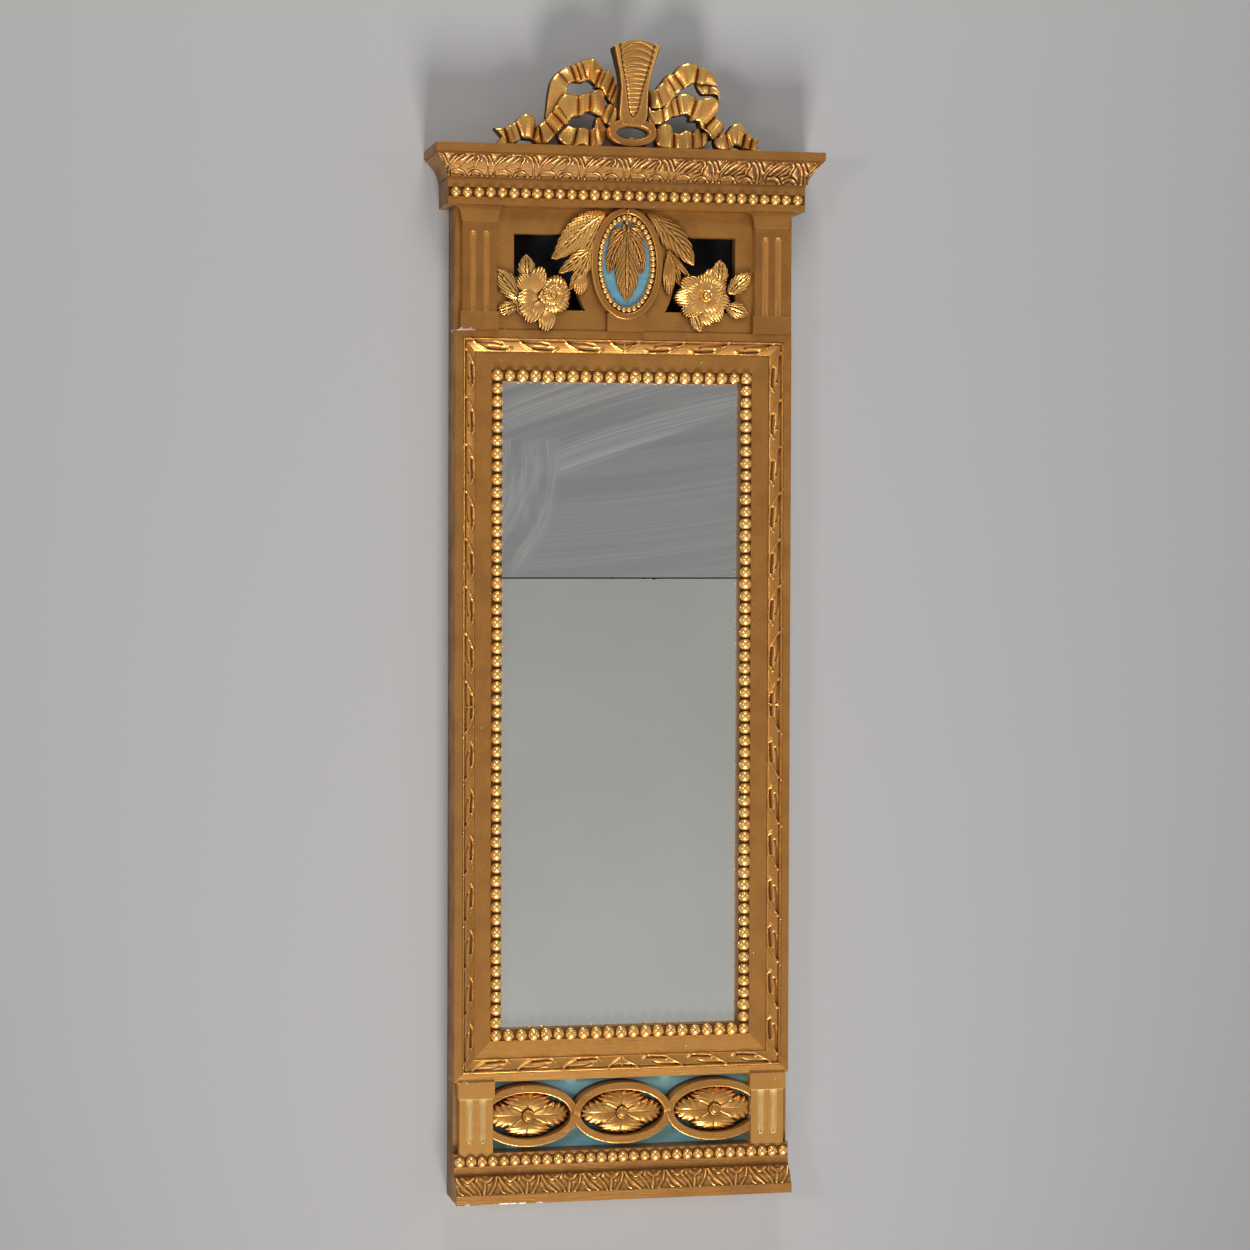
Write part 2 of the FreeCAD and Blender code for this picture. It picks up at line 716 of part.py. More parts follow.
def frieze_panel():
    """The pierced board of the frieze: two openings with curved inner ends round the medallion."""
    top = cornice_top - top_board_thickness
    panel = board(-half_body, half_body, frieze_side_depth, frieze_box_depth, frame_top, top)
    near = frieze_side_depth - overrun
    far = frieze_box_depth + overrun
    low = frame_top + opening_low
    high = frame_top + opening_high
    opening = board(-opening_half_width, opening_half_width, near, far, low, high)
    medallion_field = oval_plate(medallion_level, opening_oval_half_width, opening_oval_half_height,
                                 near, far)
    save("frieze_panel", panel.cut(opening.cut(medallion_field)))
    back_near = back_panel_depth
    back_far = back_near + back_panel_thickness
    back = board(-inner_face, inner_face, back_near, back_far, frame_top, frame_top + back_panel_height)
    save("frieze_back", back)


def frieze_pilasters():
    """Pilasters at the ends of the frieze, with plinth, fluted shaft and flaring capital."""
    face = frieze_box_depth
    outer = frieze_pilaster_inner + frieze_pilaster_width
    plinth_top = frame_top + plinth_height
    capital_foot = frieze_top - capital_height
    plinths = []
    capitals = []
    for name, side in (("left", -1), ("right", 1)):
        edges = sorted((side * (frieze_pilaster_inner - plinth_overhang), side * (outer + plinth_overhang)))
        plinths.append(board(edges[0], edges[1], face, face + plinth_relief, frame_top, plinth_top))
        capitals.append(capital(side, capital_foot))
        edges = sorted((side * frieze_pilaster_inner, side * outer))
        depth = face + frieze_pilaster_relief
        shaft = board(edges[0], edges[1], face, depth, plinth_top, capital_foot)
        shaft = fluted(shaft, side * frieze_pilaster_inner, frieze_pilaster_width,
                       plinth_top, capital_foot - flute_head_room, depth, False, True)
        save("frieze_pilaster_" + name, shaft)
    save("plinths", Part.makeCompound(plinths))
    save("capitals", Part.makeCompound(capitals))


def capital(side, foot):
    """A block whose sides flare upwards in a hollow curve."""
    inner = frieze_pilaster_inner - capital_overhang
    outer = frieze_pilaster_inner + frieze_pilaster_width + capital_overhang
    near = frieze_box_depth
    far = near + capital_relief
    outer_side = []
    inner_side = []
    for step in range(capital_steps + 1):
        turn = math.pi / 2 * step / capital_steps
        bend = capital_flare * (1 - math.cos(turn))
        level = foot + capital_height * math.sin(turn)
        outer_side.append((side * (outer + bend), level))
        inner_side.append((side * (inner - bend), level))
    return plate(outer_side + inner_side[::-1], near, far)


def medallion():
    """The oval medallion: block below, blue ground, flat rim, pearl ring and hanging leaf."""
    face = frieze_box_depth
    block_front = face + block_relief
    block = board(-block_half_width, block_half_width, face, block_front,
                  frame_top, frame_top + block_height)
    field = oval_plate(medallion_level, medallion_half_width, medallion_half_height, face, block_front)
    save("medallion_block", block.cut(field))
    inner_width = medallion_half_width - medallion_band
    inner_height = medallion_half_height - medallion_band
    rim_front = face + medallion_rim_relief
    rim = oval_plate(medallion_level, medallion_half_width, medallion_half_height, face, rim_front)
    rim = rim.cut(oval_plate(medallion_level, inner_width, inner_height,
                             face - overrun, rim_front + overrun))
    save("medallion_rim", rim)
    ground_front = face + medallion_ground_thickness
    save("medallion_ground", oval_plate(medallion_level, inner_width, inner_height, face, ground_front))
    save("medallion_beads", medallion_beads(inner_width, inner_height, ground_front))
    save("medallion_leaf", medallion_leaf(ground_front))


def medallion_beads(half_width, half_height, ground_front):
    """The ring of small beads just inside the rim."""
    strip_front = ground_front + bead_strip_thickness
    ring = oval_plate(medallion_level, half_width, half_height, ground_front, strip_front)
    inner_width = half_width - 2 * medallion_bead_inset
    inner_height = half_height - 2 * medallion_bead_inset
    hole = oval_plate(medallion_level, inner_width, inner_height,
                      ground_front - overrun, strip_front + overrun)
    line_width = half_width - medallion_bead_inset
    line_height = half_height - medallion_bead_inset
    beads = []
    for turn in even_turns(line_width, line_height, medallion_bead_count):
        level = medallion_level + line_height * math.sin(turn)
        foot = Vector(line_width * math.cos(turn), -strip_front, level)
        beads.append(dome(foot, medallion_bead_radius, medallion_bead_height, dome_sides))
    return ring.cut(hole).fuse(beads)


def even_turns(half_width, half_height, count):
    """Angles round an oval whose points lie at equal distances along it."""
    fine = count * oval_steps
    step_turn = 2 * math.pi / fine
    lengths = [0.0]
    for step in range(fine):
        turn = (step + 0.5) * step_turn
        run = math.hypot(half_width * math.sin(turn), half_height * math.cos(turn))
        lengths.append(lengths[-1] + run * step_turn)
    turns = []
    for number in range(count):
        wanted = lengths[-1] * number / count
        nearest = min(range(fine), key=lambda step: abs(lengths[step] - wanted))
        turns.append(nearest * step_turn)
    return turns


def medallion_leaf(ground_front):
    """A lobed leaf that hangs by its stem."""
    right = [(medallion_leaf_width * x, medallion_level + medallion_leaf_height * z)
             for x, z in hanging_leaf_shares]
    left = [(-x, z) for x, z in right[1:-1]]
    outline = right + left[::-1]
    return plate(outline, ground_front, ground_front + medallion_leaf_relief)


def leaf(origin, side, foot, tip, breadth, near, far):
    """A pointed leaf between its foot and its tip, mirrored by side."""
    widening = opening_half_width / drawn_half_width
    start = (origin[0] + side * foot[0] * widening, origin[1] + foot[1])
    run = (side * (tip[0] - foot[0]) * widening, tip[1] - foot[1])
    length = math.hypot(run[0], run[1])
    across = (-run[1] / length * breadth / 2, run[0] / length * breadth / 2)
    points = []
    for edge, shares in ((1, leaf_width_shares), (-1, leaf_width_shares[::-1])):
        for along_share, width_share in shares:
            swell = edge * width_share
            points.append((start[0] + run[0] * along_share + across[0] * swell,
                           start[1] + run[1] * along_share + across[1] * swell))
    tip_point = (start[0] + run[0], start[1] + run[1])
    middle = len(leaf_width_shares)
    return plate([start] + points[:middle] + [tip_point] + points[middle:], near, far)


def flower_outline(centre, level):
    """Round petals side by side."""
    points = []
    steps = flower_petals * petal_steps
    for step in range(steps):
        turn = 2 * math.pi * step / steps
        swell = abs(math.sin(turn * flower_petals / 2)) ** petal_power
        reach = flower_radius * (1 - petal_notch_share + petal_notch_share * swell)
        points.append((centre + reach * math.cos(turn), level + reach * math.sin(turn)))
    return points


def flowers():
    """A full flower on its leaves at each side of the frieze."""
    near = frieze_box_depth
    for name, side in (("left", -1), ("right", 1)):
        origin = (side * flower_offset, frame_top + flower_height)
        disc = plate(flower_outline(origin[0], origin[1]), near, near + flower_relief)
        foot = Vector(origin[0], -near - flower_relief, origin[1])
        boss = dome(foot, flower_boss_radius, flower_boss_height, boss_sides)
        leaves = [leaf(origin, side, foot, tip, breadth, near, near + leaf_relief)
                  for foot, tip, breadth in flower_leaves]
        save("flower_" + name, joined(disc, leaves + [boss]))


def leaf_sprays():
    """Long leaves that fall from the medallion towards the flowers."""
    near = frieze_box_depth
    origin = (0.0, medallion_level)
    medallion_field = oval_plate(medallion_level, medallion_half_width, medallion_half_height,
                                 near, near + overrun)
    for name, side in (("left", -1), ("right", 1)):
        flower_centre = side * flower_offset
        flower = plate(flower_outline(flower_centre, frame_top + flower_height), near, near + overrun)
        leaves = [leaf(origin, side, foot, tip, breadth, near, near + spray_relief)
                  for foot, tip, breadth in spray_leaves]
        spray = joined(leaves[0], leaves[1:])
        save("leaf_spray_" + name, spray.cut(medallion_field).cut(flower))


def cornice_profile(with_beads):
    """The cornice's section as projections from the box and heights above its foot."""
    profile = [(0, 0), (cornice_fascia_out, 0)]
    if with_beads:
        profile += [(cornice_fascia_out, cornice_bead_low), (cornice_bead_out, cornice_bead_low),
                    (cornice_bead_out, cornice_bead_high), (cornice_fascia_out, cornice_bead_high)]
    leaf_height = cornice_leaf_top - cornice_fascia_top
    leaf_out = cornice_leaf_head_out - cornice_leaf_foot_out
    profile += [(cornice_fascia_out, cornice_fascia_top), (cornice_leaf_foot_out, cornice_fascia_top)]
    for out_share, height_share in cornice_leaf_shares:
        profile.append((cornice_leaf_foot_out + leaf_out * out_share,
                        cornice_fascia_top + leaf_height * height_share))
    profile += [
        (cornice_leaf_head_out, cornice_leaf_top), (cornice_fillet_out, cornice_leaf_top),
        (cornice_fillet_out, cornice_fillet_top), (cornice_crown_out, cornice_fillet_top),
        (cornice_crown_out, cornice_height), (0, cornice_height)]
    return profile


def cornice():
    """The cornice: a carved front between mitres and plain returns along the sides."""
    reach = half_body + cornice_crown_out
    front_depth = frieze_box_depth + cornice_crown_out
    corners = [Vector(-reach, -frieze_box_depth - out, frieze_top + height)
               for out, height in cornice_profile(True)]
    bar = Part.Face(Part.makePolygon(corners + corners[:1])).extrude(Vector(2 * reach, 0, 0))
    mitre = [Vector(-half_body, -frieze_box_depth, frieze_top), Vector(-reach, -front_depth, frieze_top),
             Vector(reach, -front_depth, frieze_top), Vector(half_body, -frieze_box_depth, frieze_top)]
    keep = Part.Face(Part.makePolygon(mitre + mitre[:1])).extrude(Vector(0, 0, cornice_height))
    save("cornice_front", bar.common(keep))
    returns = []
    for side in (-1, 1):
        corners = [Vector(side * (half_body + out), 0, frieze_top + height)
                   for out, height in cornice_profile(False)]
        bar = Part.Face(Part.makePolygon(corners + corners[:1])).extrude(Vector(0, -front_depth, 0))
        mitre = [Vector(side * half_body, 0, frieze_top), Vector(side * reach, 0, frieze_top),
                 Vector(side * reach, -front_depth, frieze_top),
                 Vector(side * half_body, -frieze_box_depth, frieze_top)]
        keep = Part.Face(Part.makePolygon(mitre + mitre[:1])).extrude(Vector(0, 0, cornice_height))
        returns.append(bar.common(keep))
    save("cornice_returns", Part.makeCompound(returns))
    seat = frieze_box_depth + cornice_bead_out
    half_row = half_body + cornice_bead_out
    bead_low = frieze_top + cornice_bead_low
    save("cornice_beads", bead_row(half_row, bead_low, frieze_top + cornice_bead_high, seat))


def crest():
    """The carved bow on the cornice: two pleated bows, a ring at the knot and a flaring horn."""
    def raised(points):
        return [(x, cornice_top + z) for x, z in points]

    bows = (("left", left_bow_outline, left_bow_upper_hole, left_bow_lower_hole),
            ("right", right_bow_outline, right_bow_upper_hole, right_bow_lower_hole))
    for name, outline, upper, lower in bows:
        bow = plate(raised(outline), bow_near, bow_far)
        for hole in (upper, lower):
            bow = bow.cut(plate(raised(hole), bow_near - overrun, bow_far + overrun))
        save("crest_bow_" + name, bow)
    level = cornice_top + ring_half_height
    ring = oval_plate(level, ring_half_width, ring_half_height, ring_near, ring_far)
    hole = oval_plate(level, ring_opening_half_width, ring_opening_half_height,
                      ring_near - overrun, ring_far + overrun)
    horn_seat = leaning_plate(horn_outline, ring_near, ring_near + horn_thickness + overrun)
    save("crest_ring", ring.cut(hole).cut(horn_seat))
    save("crest_horn", horn())


def leaning_plate(points, near, far):
    """A piece cut to an outline above the cornice, which leans forward as it rises."""
    rings = []
    for depth in (near, far):
        corners = []
        for x, height in points:
            lean = horn_lean * (height - horn_foot) / (crest_height - horn_foot)
            corners.append(Vector(x, -depth - lean, cornice_top + height))
        rings.append(corners)
    return closed_solid([facet(rings[0]), facet(rings[1])] + skin(rings))


def horn():
    """The horn: a flaring plate with a sunk field between raised sides, crossed by arched ribs."""
    near = ring_near
    far = near + horn_thickness
    body = leaning_plate(horn_outline, near, far)
    field = []
    for x, height in horn_outline:
        sunk_height = horn_foot + horn_rim + (height - horn_foot) * horn_field_share
        field.append((x * horn_field_share, min(sunk_height, crest_height + horn_rim)))
    body = body.cut(leaning_plate(field, far - horn_rim_relief, far + overrun))
    ribs = []
    for step in range(horn_rib_count):
        share = (step + 0.5) / horn_rib_count
        low = horn_foot + horn_rim * 2 + (crest_height - horn_rim * 4 - horn_foot) * share
        half = horn_half_width(low) * horn_field_share * horn_rib_share
        rise = half * horn_rib_arch_share
        upper = []
        lower = []
        for side_share in (-1, -0.5, 0, 0.5, 1):
            level = low + rise * (1 - side_share * side_share)
            upper.append((half * side_share, level + horn_rib_width / 2))
            lower.append((half * side_share, level - horn_rib_width / 2))
        ribs.append(leaning_plate(upper + lower[::-1], far - horn_rim_relief, far - horn_rib_sink))
    return body.fuse(ribs)


def horn_half_width(height):
    """Half the horn's width at one height, read along the right side of its outline."""
    widest = max(horn_outline)
    right = sorted((z, x) for x, z in horn_outline if x > 0 and z <= widest[1])
    for low, high in zip(right[:-1], right[1:]):
        if low[0] <= height <= high[0]:
            return low[1] + (high[1] - low[1]) * (height - low[0]) / (high[0] - low[0])
    return widest[0]


def hanger():
    """The batten behind the frieze, the strap screwed to it and the hanging ring."""
    low = frame_top + batten_foot
    high = low + batten_height
    batten = board(-inner_face, inner_face, batten_depth, frieze_side_depth, low, high)
    strap_back = batten_depth - strap_thickness
    strap_top = hang_level + strap_height
    strap = board(-strap_width / 2, strap_width / 2, strap_back, batten_depth, hang_level, strap_top)
    half_knuckle = knuckle_width / 2
    ends = [ring_of_corners(Vector(x, -hang_depth, hang_level), Vector(0, 1, 0), Vector(0, 0, 1),
                            knuckle_radius, knuckle_sides) for x in (-half_knuckle, half_knuckle)]
    knuckle = closed_solid([facet(ends[0]), facet(ends[1])] + skin(ends))
    bore_radius = ring_wire + ring_bore_clearance
    bore = Part.makeCylinder(bore_radius, knuckle_width + 2 * overrun,
                             Vector(-half_knuckle - overrun, -hang_depth, hang_level), Vector(1, 0, 0))
    in_front = board(-strap_width, strap_width, batten_depth, batten_depth + overrun * 2, low, high)
    strap = strap.fuse(knuckle.cut(in_front)).cut(bore)
    screws = []
    for step in (0, 1):
        level = hang_level + screw_rise + step * screw_gap
        shank = round_bar(level, strap_back, strap_back + screw_length, screw_radius)
        head = round_bar(level, strap_back - screw_head_height, strap_back, screw_head_radius)
        screws.append(shank.fuse(head))
        batten = batten.cut(shank)
        strap = strap.cut(shank)
    save("hanging_batten", batten)
    save("hanger_strap", strap)
    save("hanger_screws", Part.makeCompound(screws))
    save("hanging_ring", hanging_ring())


def round_bar(level, near, far, radius):
    """A short faceted pin that points at the wall, on the mirror's middle line."""
    across = Vector(1, 0, 0)
    up = Vector(0, 0, 1)
    rings = [ring_of_corners(Vector(0, -depth, level), across, up, radius, ring_sides)
             for depth in (near, far)]
    return closed_solid([facet(rings[0]), facet(rings[1])] + skin(rings))


def hanging_ring():
    """A ring of wire like the letter D: its straight bar turns in the strap's knuckle."""
    half = ring_inner_half_width + ring_wire
    bar_start = Vector(-ring_inner_half_width, -hang_depth, hang_level)
    bar = Part.makeCylinder(ring_wire, 2 * ring_inner_half_width, bar_start, Vector(1, 0, 0))
    shoulder = hang_level - ring_drop + half
    outline = []
    for radius in (half + ring_wire, half - ring_wire):
        side = [(-radius, hang_level + ring_flat)]
        for step in range(ring_arc_steps + 1):
            turn = math.pi + math.pi * step / ring_arc_steps
            side.append((radius * math.cos(turn), shoulder + radius * math.sin(turn)))
        side.append((radius, hang_level + ring_flat))
        outline.append(side)
    bail = plate(outline[0] + outline[1][::-1], hang_depth - ring_flat, hang_depth + ring_flat)
    return bar.fuse(bail)


os.makedirs("parts", exist_ok=True)
side_boards()
back_rails()
frame_rails()
ribbons()
sight_beads()
glass()
base_moulding()
base_pilasters()
base_panel()
guilloche()
rosettes()
frieze_panel()
frieze_pilasters()
medallion()
flowers()
leaf_sprays()
cornice()
crest()
hanger()
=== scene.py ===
# %% [markdown]
# # A gilded wall mirror with a ribbon crest
# The solid model gives every board, rail and pane its true place. This file dresses it: the
# carving that a woodcarver would cut, the gold leaf over red clay, the painted ground and the
# old glass. Sizes are written in millimetres, as a cabinetmaker would, and times MM they are
# Blender's metres.

# %% Load the solid model
import json
import math
import random

import bpy
import numpy as np
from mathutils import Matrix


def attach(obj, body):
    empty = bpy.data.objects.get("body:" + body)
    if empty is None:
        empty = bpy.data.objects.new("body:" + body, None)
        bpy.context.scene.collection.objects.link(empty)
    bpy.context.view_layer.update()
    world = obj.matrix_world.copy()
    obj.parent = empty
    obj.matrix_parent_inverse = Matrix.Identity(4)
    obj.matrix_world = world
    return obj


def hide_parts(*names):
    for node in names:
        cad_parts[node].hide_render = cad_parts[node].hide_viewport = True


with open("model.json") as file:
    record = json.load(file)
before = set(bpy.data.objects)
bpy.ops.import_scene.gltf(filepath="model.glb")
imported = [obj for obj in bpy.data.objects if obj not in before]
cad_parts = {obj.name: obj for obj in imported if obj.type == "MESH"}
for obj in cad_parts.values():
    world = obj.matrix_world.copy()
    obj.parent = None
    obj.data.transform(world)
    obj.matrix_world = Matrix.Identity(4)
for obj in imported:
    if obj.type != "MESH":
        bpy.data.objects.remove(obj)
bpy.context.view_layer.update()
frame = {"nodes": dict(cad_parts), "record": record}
nodes = frame["nodes"]
MM = 0.001
chance = random.Random(7)

# %% [markdown]
# ## Sizes taken from the solid model
# Depths are measured from the wall, and a depth of 28 lies at Y = -0.028. Heights are measured
# from the middle of the lower back rail. The carving has to sit on the same seats as the
# solids, so the sizes that both share are named once here.

# %% Shared sizes
half_body = 165.0
underside = -20.0
base_top = 94.0
frame_top = 804.0
frieze_top = 920.0
cornice_top = 974.0
rail_width = 47.5
frieze_face = 27.0
medallion_level = 867.8
oval_level = 60.0
pane_joint = 570.0
print("frame round the glass:", 2 * half_body, "by", frame_top - base_top, "mm")

# %% [markdown]
# ## The camera
# The photograph was taken from the left with the wall kept square to the film, which a shift
# lens does. A long lens, turned a little to the right and shifted, gives nearly the same view
# and keeps the whole mirror in the frame.

# %% Camera
photo_width, focal_length = 1250, 2200
film_width = 36.0
turned_right, tilted_down = 8.26, 1.125
lens_camera = bpy.data.cameras.new("camera")
lens_camera.sensor_width = film_width
lens_camera.lens = focal_length / photo_width * film_width
lens_camera.shift_x = 0.3
camera = bpy.data.objects.new("camera", lens_camera)
bpy.context.scene.collection.objects.link(camera)
camera.location = (-0.6528, -2.0464, 0.5670)
camera.rotation_euler = (math.radians(90 - tilted_down), 0, math.radians(-turned_right))
bpy.context.scene.camera = camera
print("camera:", lens_camera.lens, "mm lens")

# %% [markdown]
# ## Wall and floor
# The mirror hangs on a plain grey wall, well above a pale floor. From behind, the wall can be
# seen through, so that the back of the mirror can be looked at. It is also open where the
# mirror's box covers it, so that light reaches that back.

# %% Wall and floor
wall_colour = (0.388, 0.378, 0.372, 1)
floor_colour = (0.62, 0.61, 0.60, 1)
wall_half_width, wall_foot, wall_head, wall_gap = 3500, -1500, 5500, 0.6
floor_level, floor_size = -1.95, 9.0
wall_rows = [(wall_foot, underside + 1, 0),
             (underside + 1, frieze_top + 1, half_body - 1),
             (frieze_top + 1, cornice_top - 1, half_body + 8.5),
             (cornice_top - 1, wall_head, 0)]


def new_material(name):
    """A material with its node tree and its shader."""
    material = bpy.data.materials.new(name)
    material.use_nodes = True
    print("material:", name)
    return material, material.node_tree, material.node_tree.nodes["Principled BSDF"]


def feed(tree, node, values):
    """Each input gets a plain value or a wire from another node."""
    for label, value in values.items():
        if isinstance(value, bpy.types.NodeSocket):
            tree.links.new(value, node.inputs[label])
        else:
            node.inputs[label].default_value = value


def new_node(tree, kind, values, result=0, **settings):
    """A new shader node with its inputs and settings. What comes back is one of its outputs."""
    node = tree.nodes.new("ShaderNode" + kind)
    for label, value in settings.items():
        setattr(node, label, value)
    feed(tree, node, values)
    return node.outputs[result]


def plain_material(name, colour):
    """A matte paint."""
    material, tree, shader = new_material(name)
    feed(tree, shader, {"Base Color": colour, "Roughness": 0.9, "Specular IOR Level": 0.2})
    return material, tree, shader


def see_through_from_behind(tree, shader):
    """Nothing is seen of the faces that look away from the camera."""
    away = new_node(tree, "NewGeometry", {}, "Backfacing")
    clear = new_node(tree, "BsdfTransparent", {})
    mix = new_node(tree, "MixShader", {0: away, 1: shader.outputs["BSDF"], 2: clear})
    tree.links.new(mix, tree.nodes["Material Output"].inputs["Surface"])


def deselect():
    bpy.ops.object.select_all(action="DESELECT")


def add_stage_plane(name, location, turn, breadth, length, material):
    """A flat sheet of the surroundings, with its sizes in metres."""
    deselect()
    bpy.ops.mesh.primitive_plane_add(size=1, location=location, rotation=turn)
    plane = bpy.context.object
    plane.name = name
    plane.scale = (breadth, length, 1)
    plane.data.materials.append(material)
    bpy.ops.object.transform_apply(location=True, rotation=True, scale=True)
    return plane


wall_paint, wall_tree, wall_shader = plain_material("wall_paint", wall_colour)
see_through_from_behind(wall_tree, wall_shader)
floor_paint = plain_material("floor_paint", floor_colour)[0]
for foot, head, opening_half in wall_rows:
    for side in (-1, 1):
        middle = (side * (wall_half_width + opening_half) / 2 * MM, wall_gap * MM,
                  (foot + head) / 2 * MM)
        add_stage_plane("wall", middle, (math.radians(90), 0, 0),
                        (wall_half_width - opening_half) * MM, (head - foot) * MM, wall_paint)
add_stage_plane("floor", (0, 0, floor_level), (0, 0, 0), floor_size, floor_size, floor_paint)

# %% [markdown]
# ## Light
# In the photograph the crest throws a wide shadow upwards and the cornice a short one
# downwards, so one soft lamp stands low and one hangs high, both close to the wall. Two weaker
# lamps light the sides. The carving of the base is light too, so the sky is brighter from below.

# %% Lamps and sky
strength_above, strength_below = 0.27, 0.52
fade_start, fade_end = 0.10, -0.24
world = bpy.data.worlds.new("studio")
bpy.context.scene.world = world
world.use_nodes = True
sky = world.node_tree
direction = new_node(sky, "TexCoord", {}, "Generated")
upward = new_node(sky, "SeparateXYZ", {"Vector": direction}, "Z")
fade = {"Value": upward, "From Min": fade_start, "From Max": fade_end, "To Min": strength_above,
        "To Max": strength_below}
strength = new_node(sky, "MapRange", fade)
feed(sky, sky.nodes["Background"], {"Color": (0.80, 0.80, 0.80, 1), "Strength": strength})


def add_lamp(name, place, aim, size, power, spread=180):
    """A soft square lamp that looks at a point. Spread is its cone in degrees."""
    lamp = bpy.data.lights.new(name, "AREA")
    lamp.shape = "SQUARE"
    lamp.size = size
    lamp.energy = power
    lamp.spread = math.radians(spread)
    holder = bpy.data.objects.new(name, lamp)
    bpy.context.scene.collection.objects.link(holder)
    holder.location = place
    away = [a - b for a, b in zip(aim, place)]
    flat = math.hypot(away[0], away[1])
    holder.rotation_euler = (math.atan2(flat, -away[2]), 0, math.atan2(-away[0], away[1]))
    print("lamp:", name, power, "watts")


add_lamp("lamp_below", (0, -1.5, -1.75), (0, 0, 1.6), 0.9, 17, spread=72)
add_lamp("lamp_above", (-0.05, -1.25, 2.7), (0, 0, 0.6), 0.75, 23)
add_lamp("lamp_left", (-2.0, -1.7, 0.7), (0, 0, 0.5), 0.45, 11)
add_lamp("lamp_right", (2.0, -1.6, 0.9), (0, 0, 0.5), 0.6, 4)
bpy.context.scene.view_settings.view_transform = "Standard"

# %% [markdown]
# ## Tools for finishes
# A finish is a net of nodes, and each node passes a colour or a number to the next one. Wired
# by hand, such a net takes many lines. These helpers make the usual nodes in one line each, so
# that a finish reads like a recipe.

# %% Tools for finishes


def new_group(name, inputs, outputs):
    """A net of nodes with named inputs and outputs, to be placed in many materials."""
    group = bpy.data.node_groups.new(name, "ShaderNodeTree")
    for label, kind, start in inputs:
        socket = group.interface.new_socket(name=label, in_out="INPUT", socket_type=kind)
        socket.default_value = start
    for label, kind in outputs:
        group.interface.new_socket(name=label, in_out="OUTPUT", socket_type=kind)
    return group


def noise(tree, coordinates, scale, detail, stretch=(1, 1, 1)):
    """A noise pattern, stretched along the axes where its numbers are small."""
    stretched = new_node(tree, "Mapping", {"Vector": coordinates, "Scale": stretch})
    return new_node(tree, "TexNoise", {"Vector": stretched, "Scale": scale, "Detail": detail})


def ramp(tree, value, low, high):
    """Zero below low, one above high and smooth between."""
    limits = {"Value": value, "From Min": low, "From Max": high}
    return new_node(tree, "MapRange", limits, interpolation_type="SMOOTHSTEP")


def combine(tree, operation, first, second=0.0):
    """Two values in one, either of which may be a plain number."""
    return new_node(tree, "Math", {0: first, 1: second}, operation=operation)


def times(tree, first, second):
    return combine(tree, "MULTIPLY", first, second)


def plus(tree, first, second):
    return combine(tree, "ADD", first, second)


def minus(tree, first, second):
    return combine(tree, "SUBTRACT", first, second)


def between(tree, share, first, second, numbers=False):
    """From the first colour or number to the second as the share rises."""
    if numbers:
        return new_node(tree, "Mix", {0: share, 2: first, 3: second}, 0, data_type="FLOAT")
    return new_node(tree, "Mix", {0: share, 6: first, 7: second}, 2, data_type="RGBA")


def parts_of(tree, vector, axes="XZ"):
    """The parts of a vector along the axes: across and upwards, unless others are named."""
    node = tree.nodes.new("ShaderNodeSeparateXYZ")
    feed(tree, node, {"Vector": vector})
    return [node.outputs[axis] for axis in axes]


def object_places(tree):
    """Each point's own place in metres."""
    return new_node(tree, "TexCoord", {}, "Object")


def shaded(colour, share):
    """A colour made darker or lighter."""
    return tuple(min(part * share, 1.0) for part in colour[:3]) + (1,)


def open_sky(tree, reach):
    """How open a place is within the reach: low in corners and hollows."""
    return new_node(tree, "AmbientOcclusion", {"Distance": reach * MM}, "AO", samples=6)


def bump(tree, shader, height, strength, distance):
    """The surface seems to rise where the height value is high."""
    values = {"Height": height, "Strength": strength, "Distance": distance * MM}
    feed(tree, shader, {"Normal": new_node(tree, "Bump", values)})


# %% [markdown]
# ## Gold that has been touched for two hundred years
# Gold leaf lies on red clay over white chalk ground. Where hands and dusters rubbed it, the
# high places shine and the hollows keep brown dirt. One node group makes the blotches, fine
# streaks and small pits from noise on Object coordinates, which needs no picture and runs on
# from piece to piece, and each finish gives it its own values. Ambient occlusion then darkens
# the hollows, and the carving's ridges are lightened and its valleys darkened: partly dirt and
# rub, partly painted shade and painted highlight. Faces that look to the wall were left as
# bare pine.

# %% Node group for old gilding
old_gilding = new_group(
    "Old gilding",
    [("Leaf", "NodeSocketColor", (0.8, 0.5, 0.2, 1)),
     ("Tarnish", "NodeSocketColor", (0.5, 0.3, 0.1, 1)),
     ("Clay", "NodeSocketColor", (0.35, 0.1, 0.03, 1)),
     ("Tarnish amount", "NodeSocketFloat", 0.5), ("Clay amount", "NodeSocketFloat", 0.1),
     ("Smoothness", "NodeSocketFloat", 0.4), ("Upright", "NodeSocketFloat", 0.0)],
    [("Color", "NodeSocketColor"), ("Roughness", "NodeSocketFloat"), ("Height", "NodeSocketFloat")])
tree = old_gilding
given = tree.nodes.new("NodeGroupInput").outputs
leave = tree.nodes.new("NodeGroupOutput")
places = object_places(tree)
blotches = ramp(tree, noise(tree, places, 38, 5), 0.35, 0.68)
level_streaks = noise(tree, places, 95, 4, (0.35, 1, 13))
upright_streaks = noise(tree, places, 95, 4, (13, 1, 0.35))
level_part = times(tree, level_streaks, minus(tree, 1.0, given["Upright"]))
upright_part = times(tree, upright_streaks, given["Upright"])
grain = ramp(tree, plus(tree, level_part, upright_part), 0.34, 0.72)
specks = ramp(tree, noise(tree, places, 520, 2), 0.60, 0.72)
tarnish = times(tree, blotches, given["Tarnish amount"])
toned = between(tree, tarnish, given["Leaf"], given["Tarnish"])
rubbed = ramp(tree, noise(tree, places, 95, 6), 0.60, 0.74)
clay_share = times(tree, rubbed, given["Clay amount"])
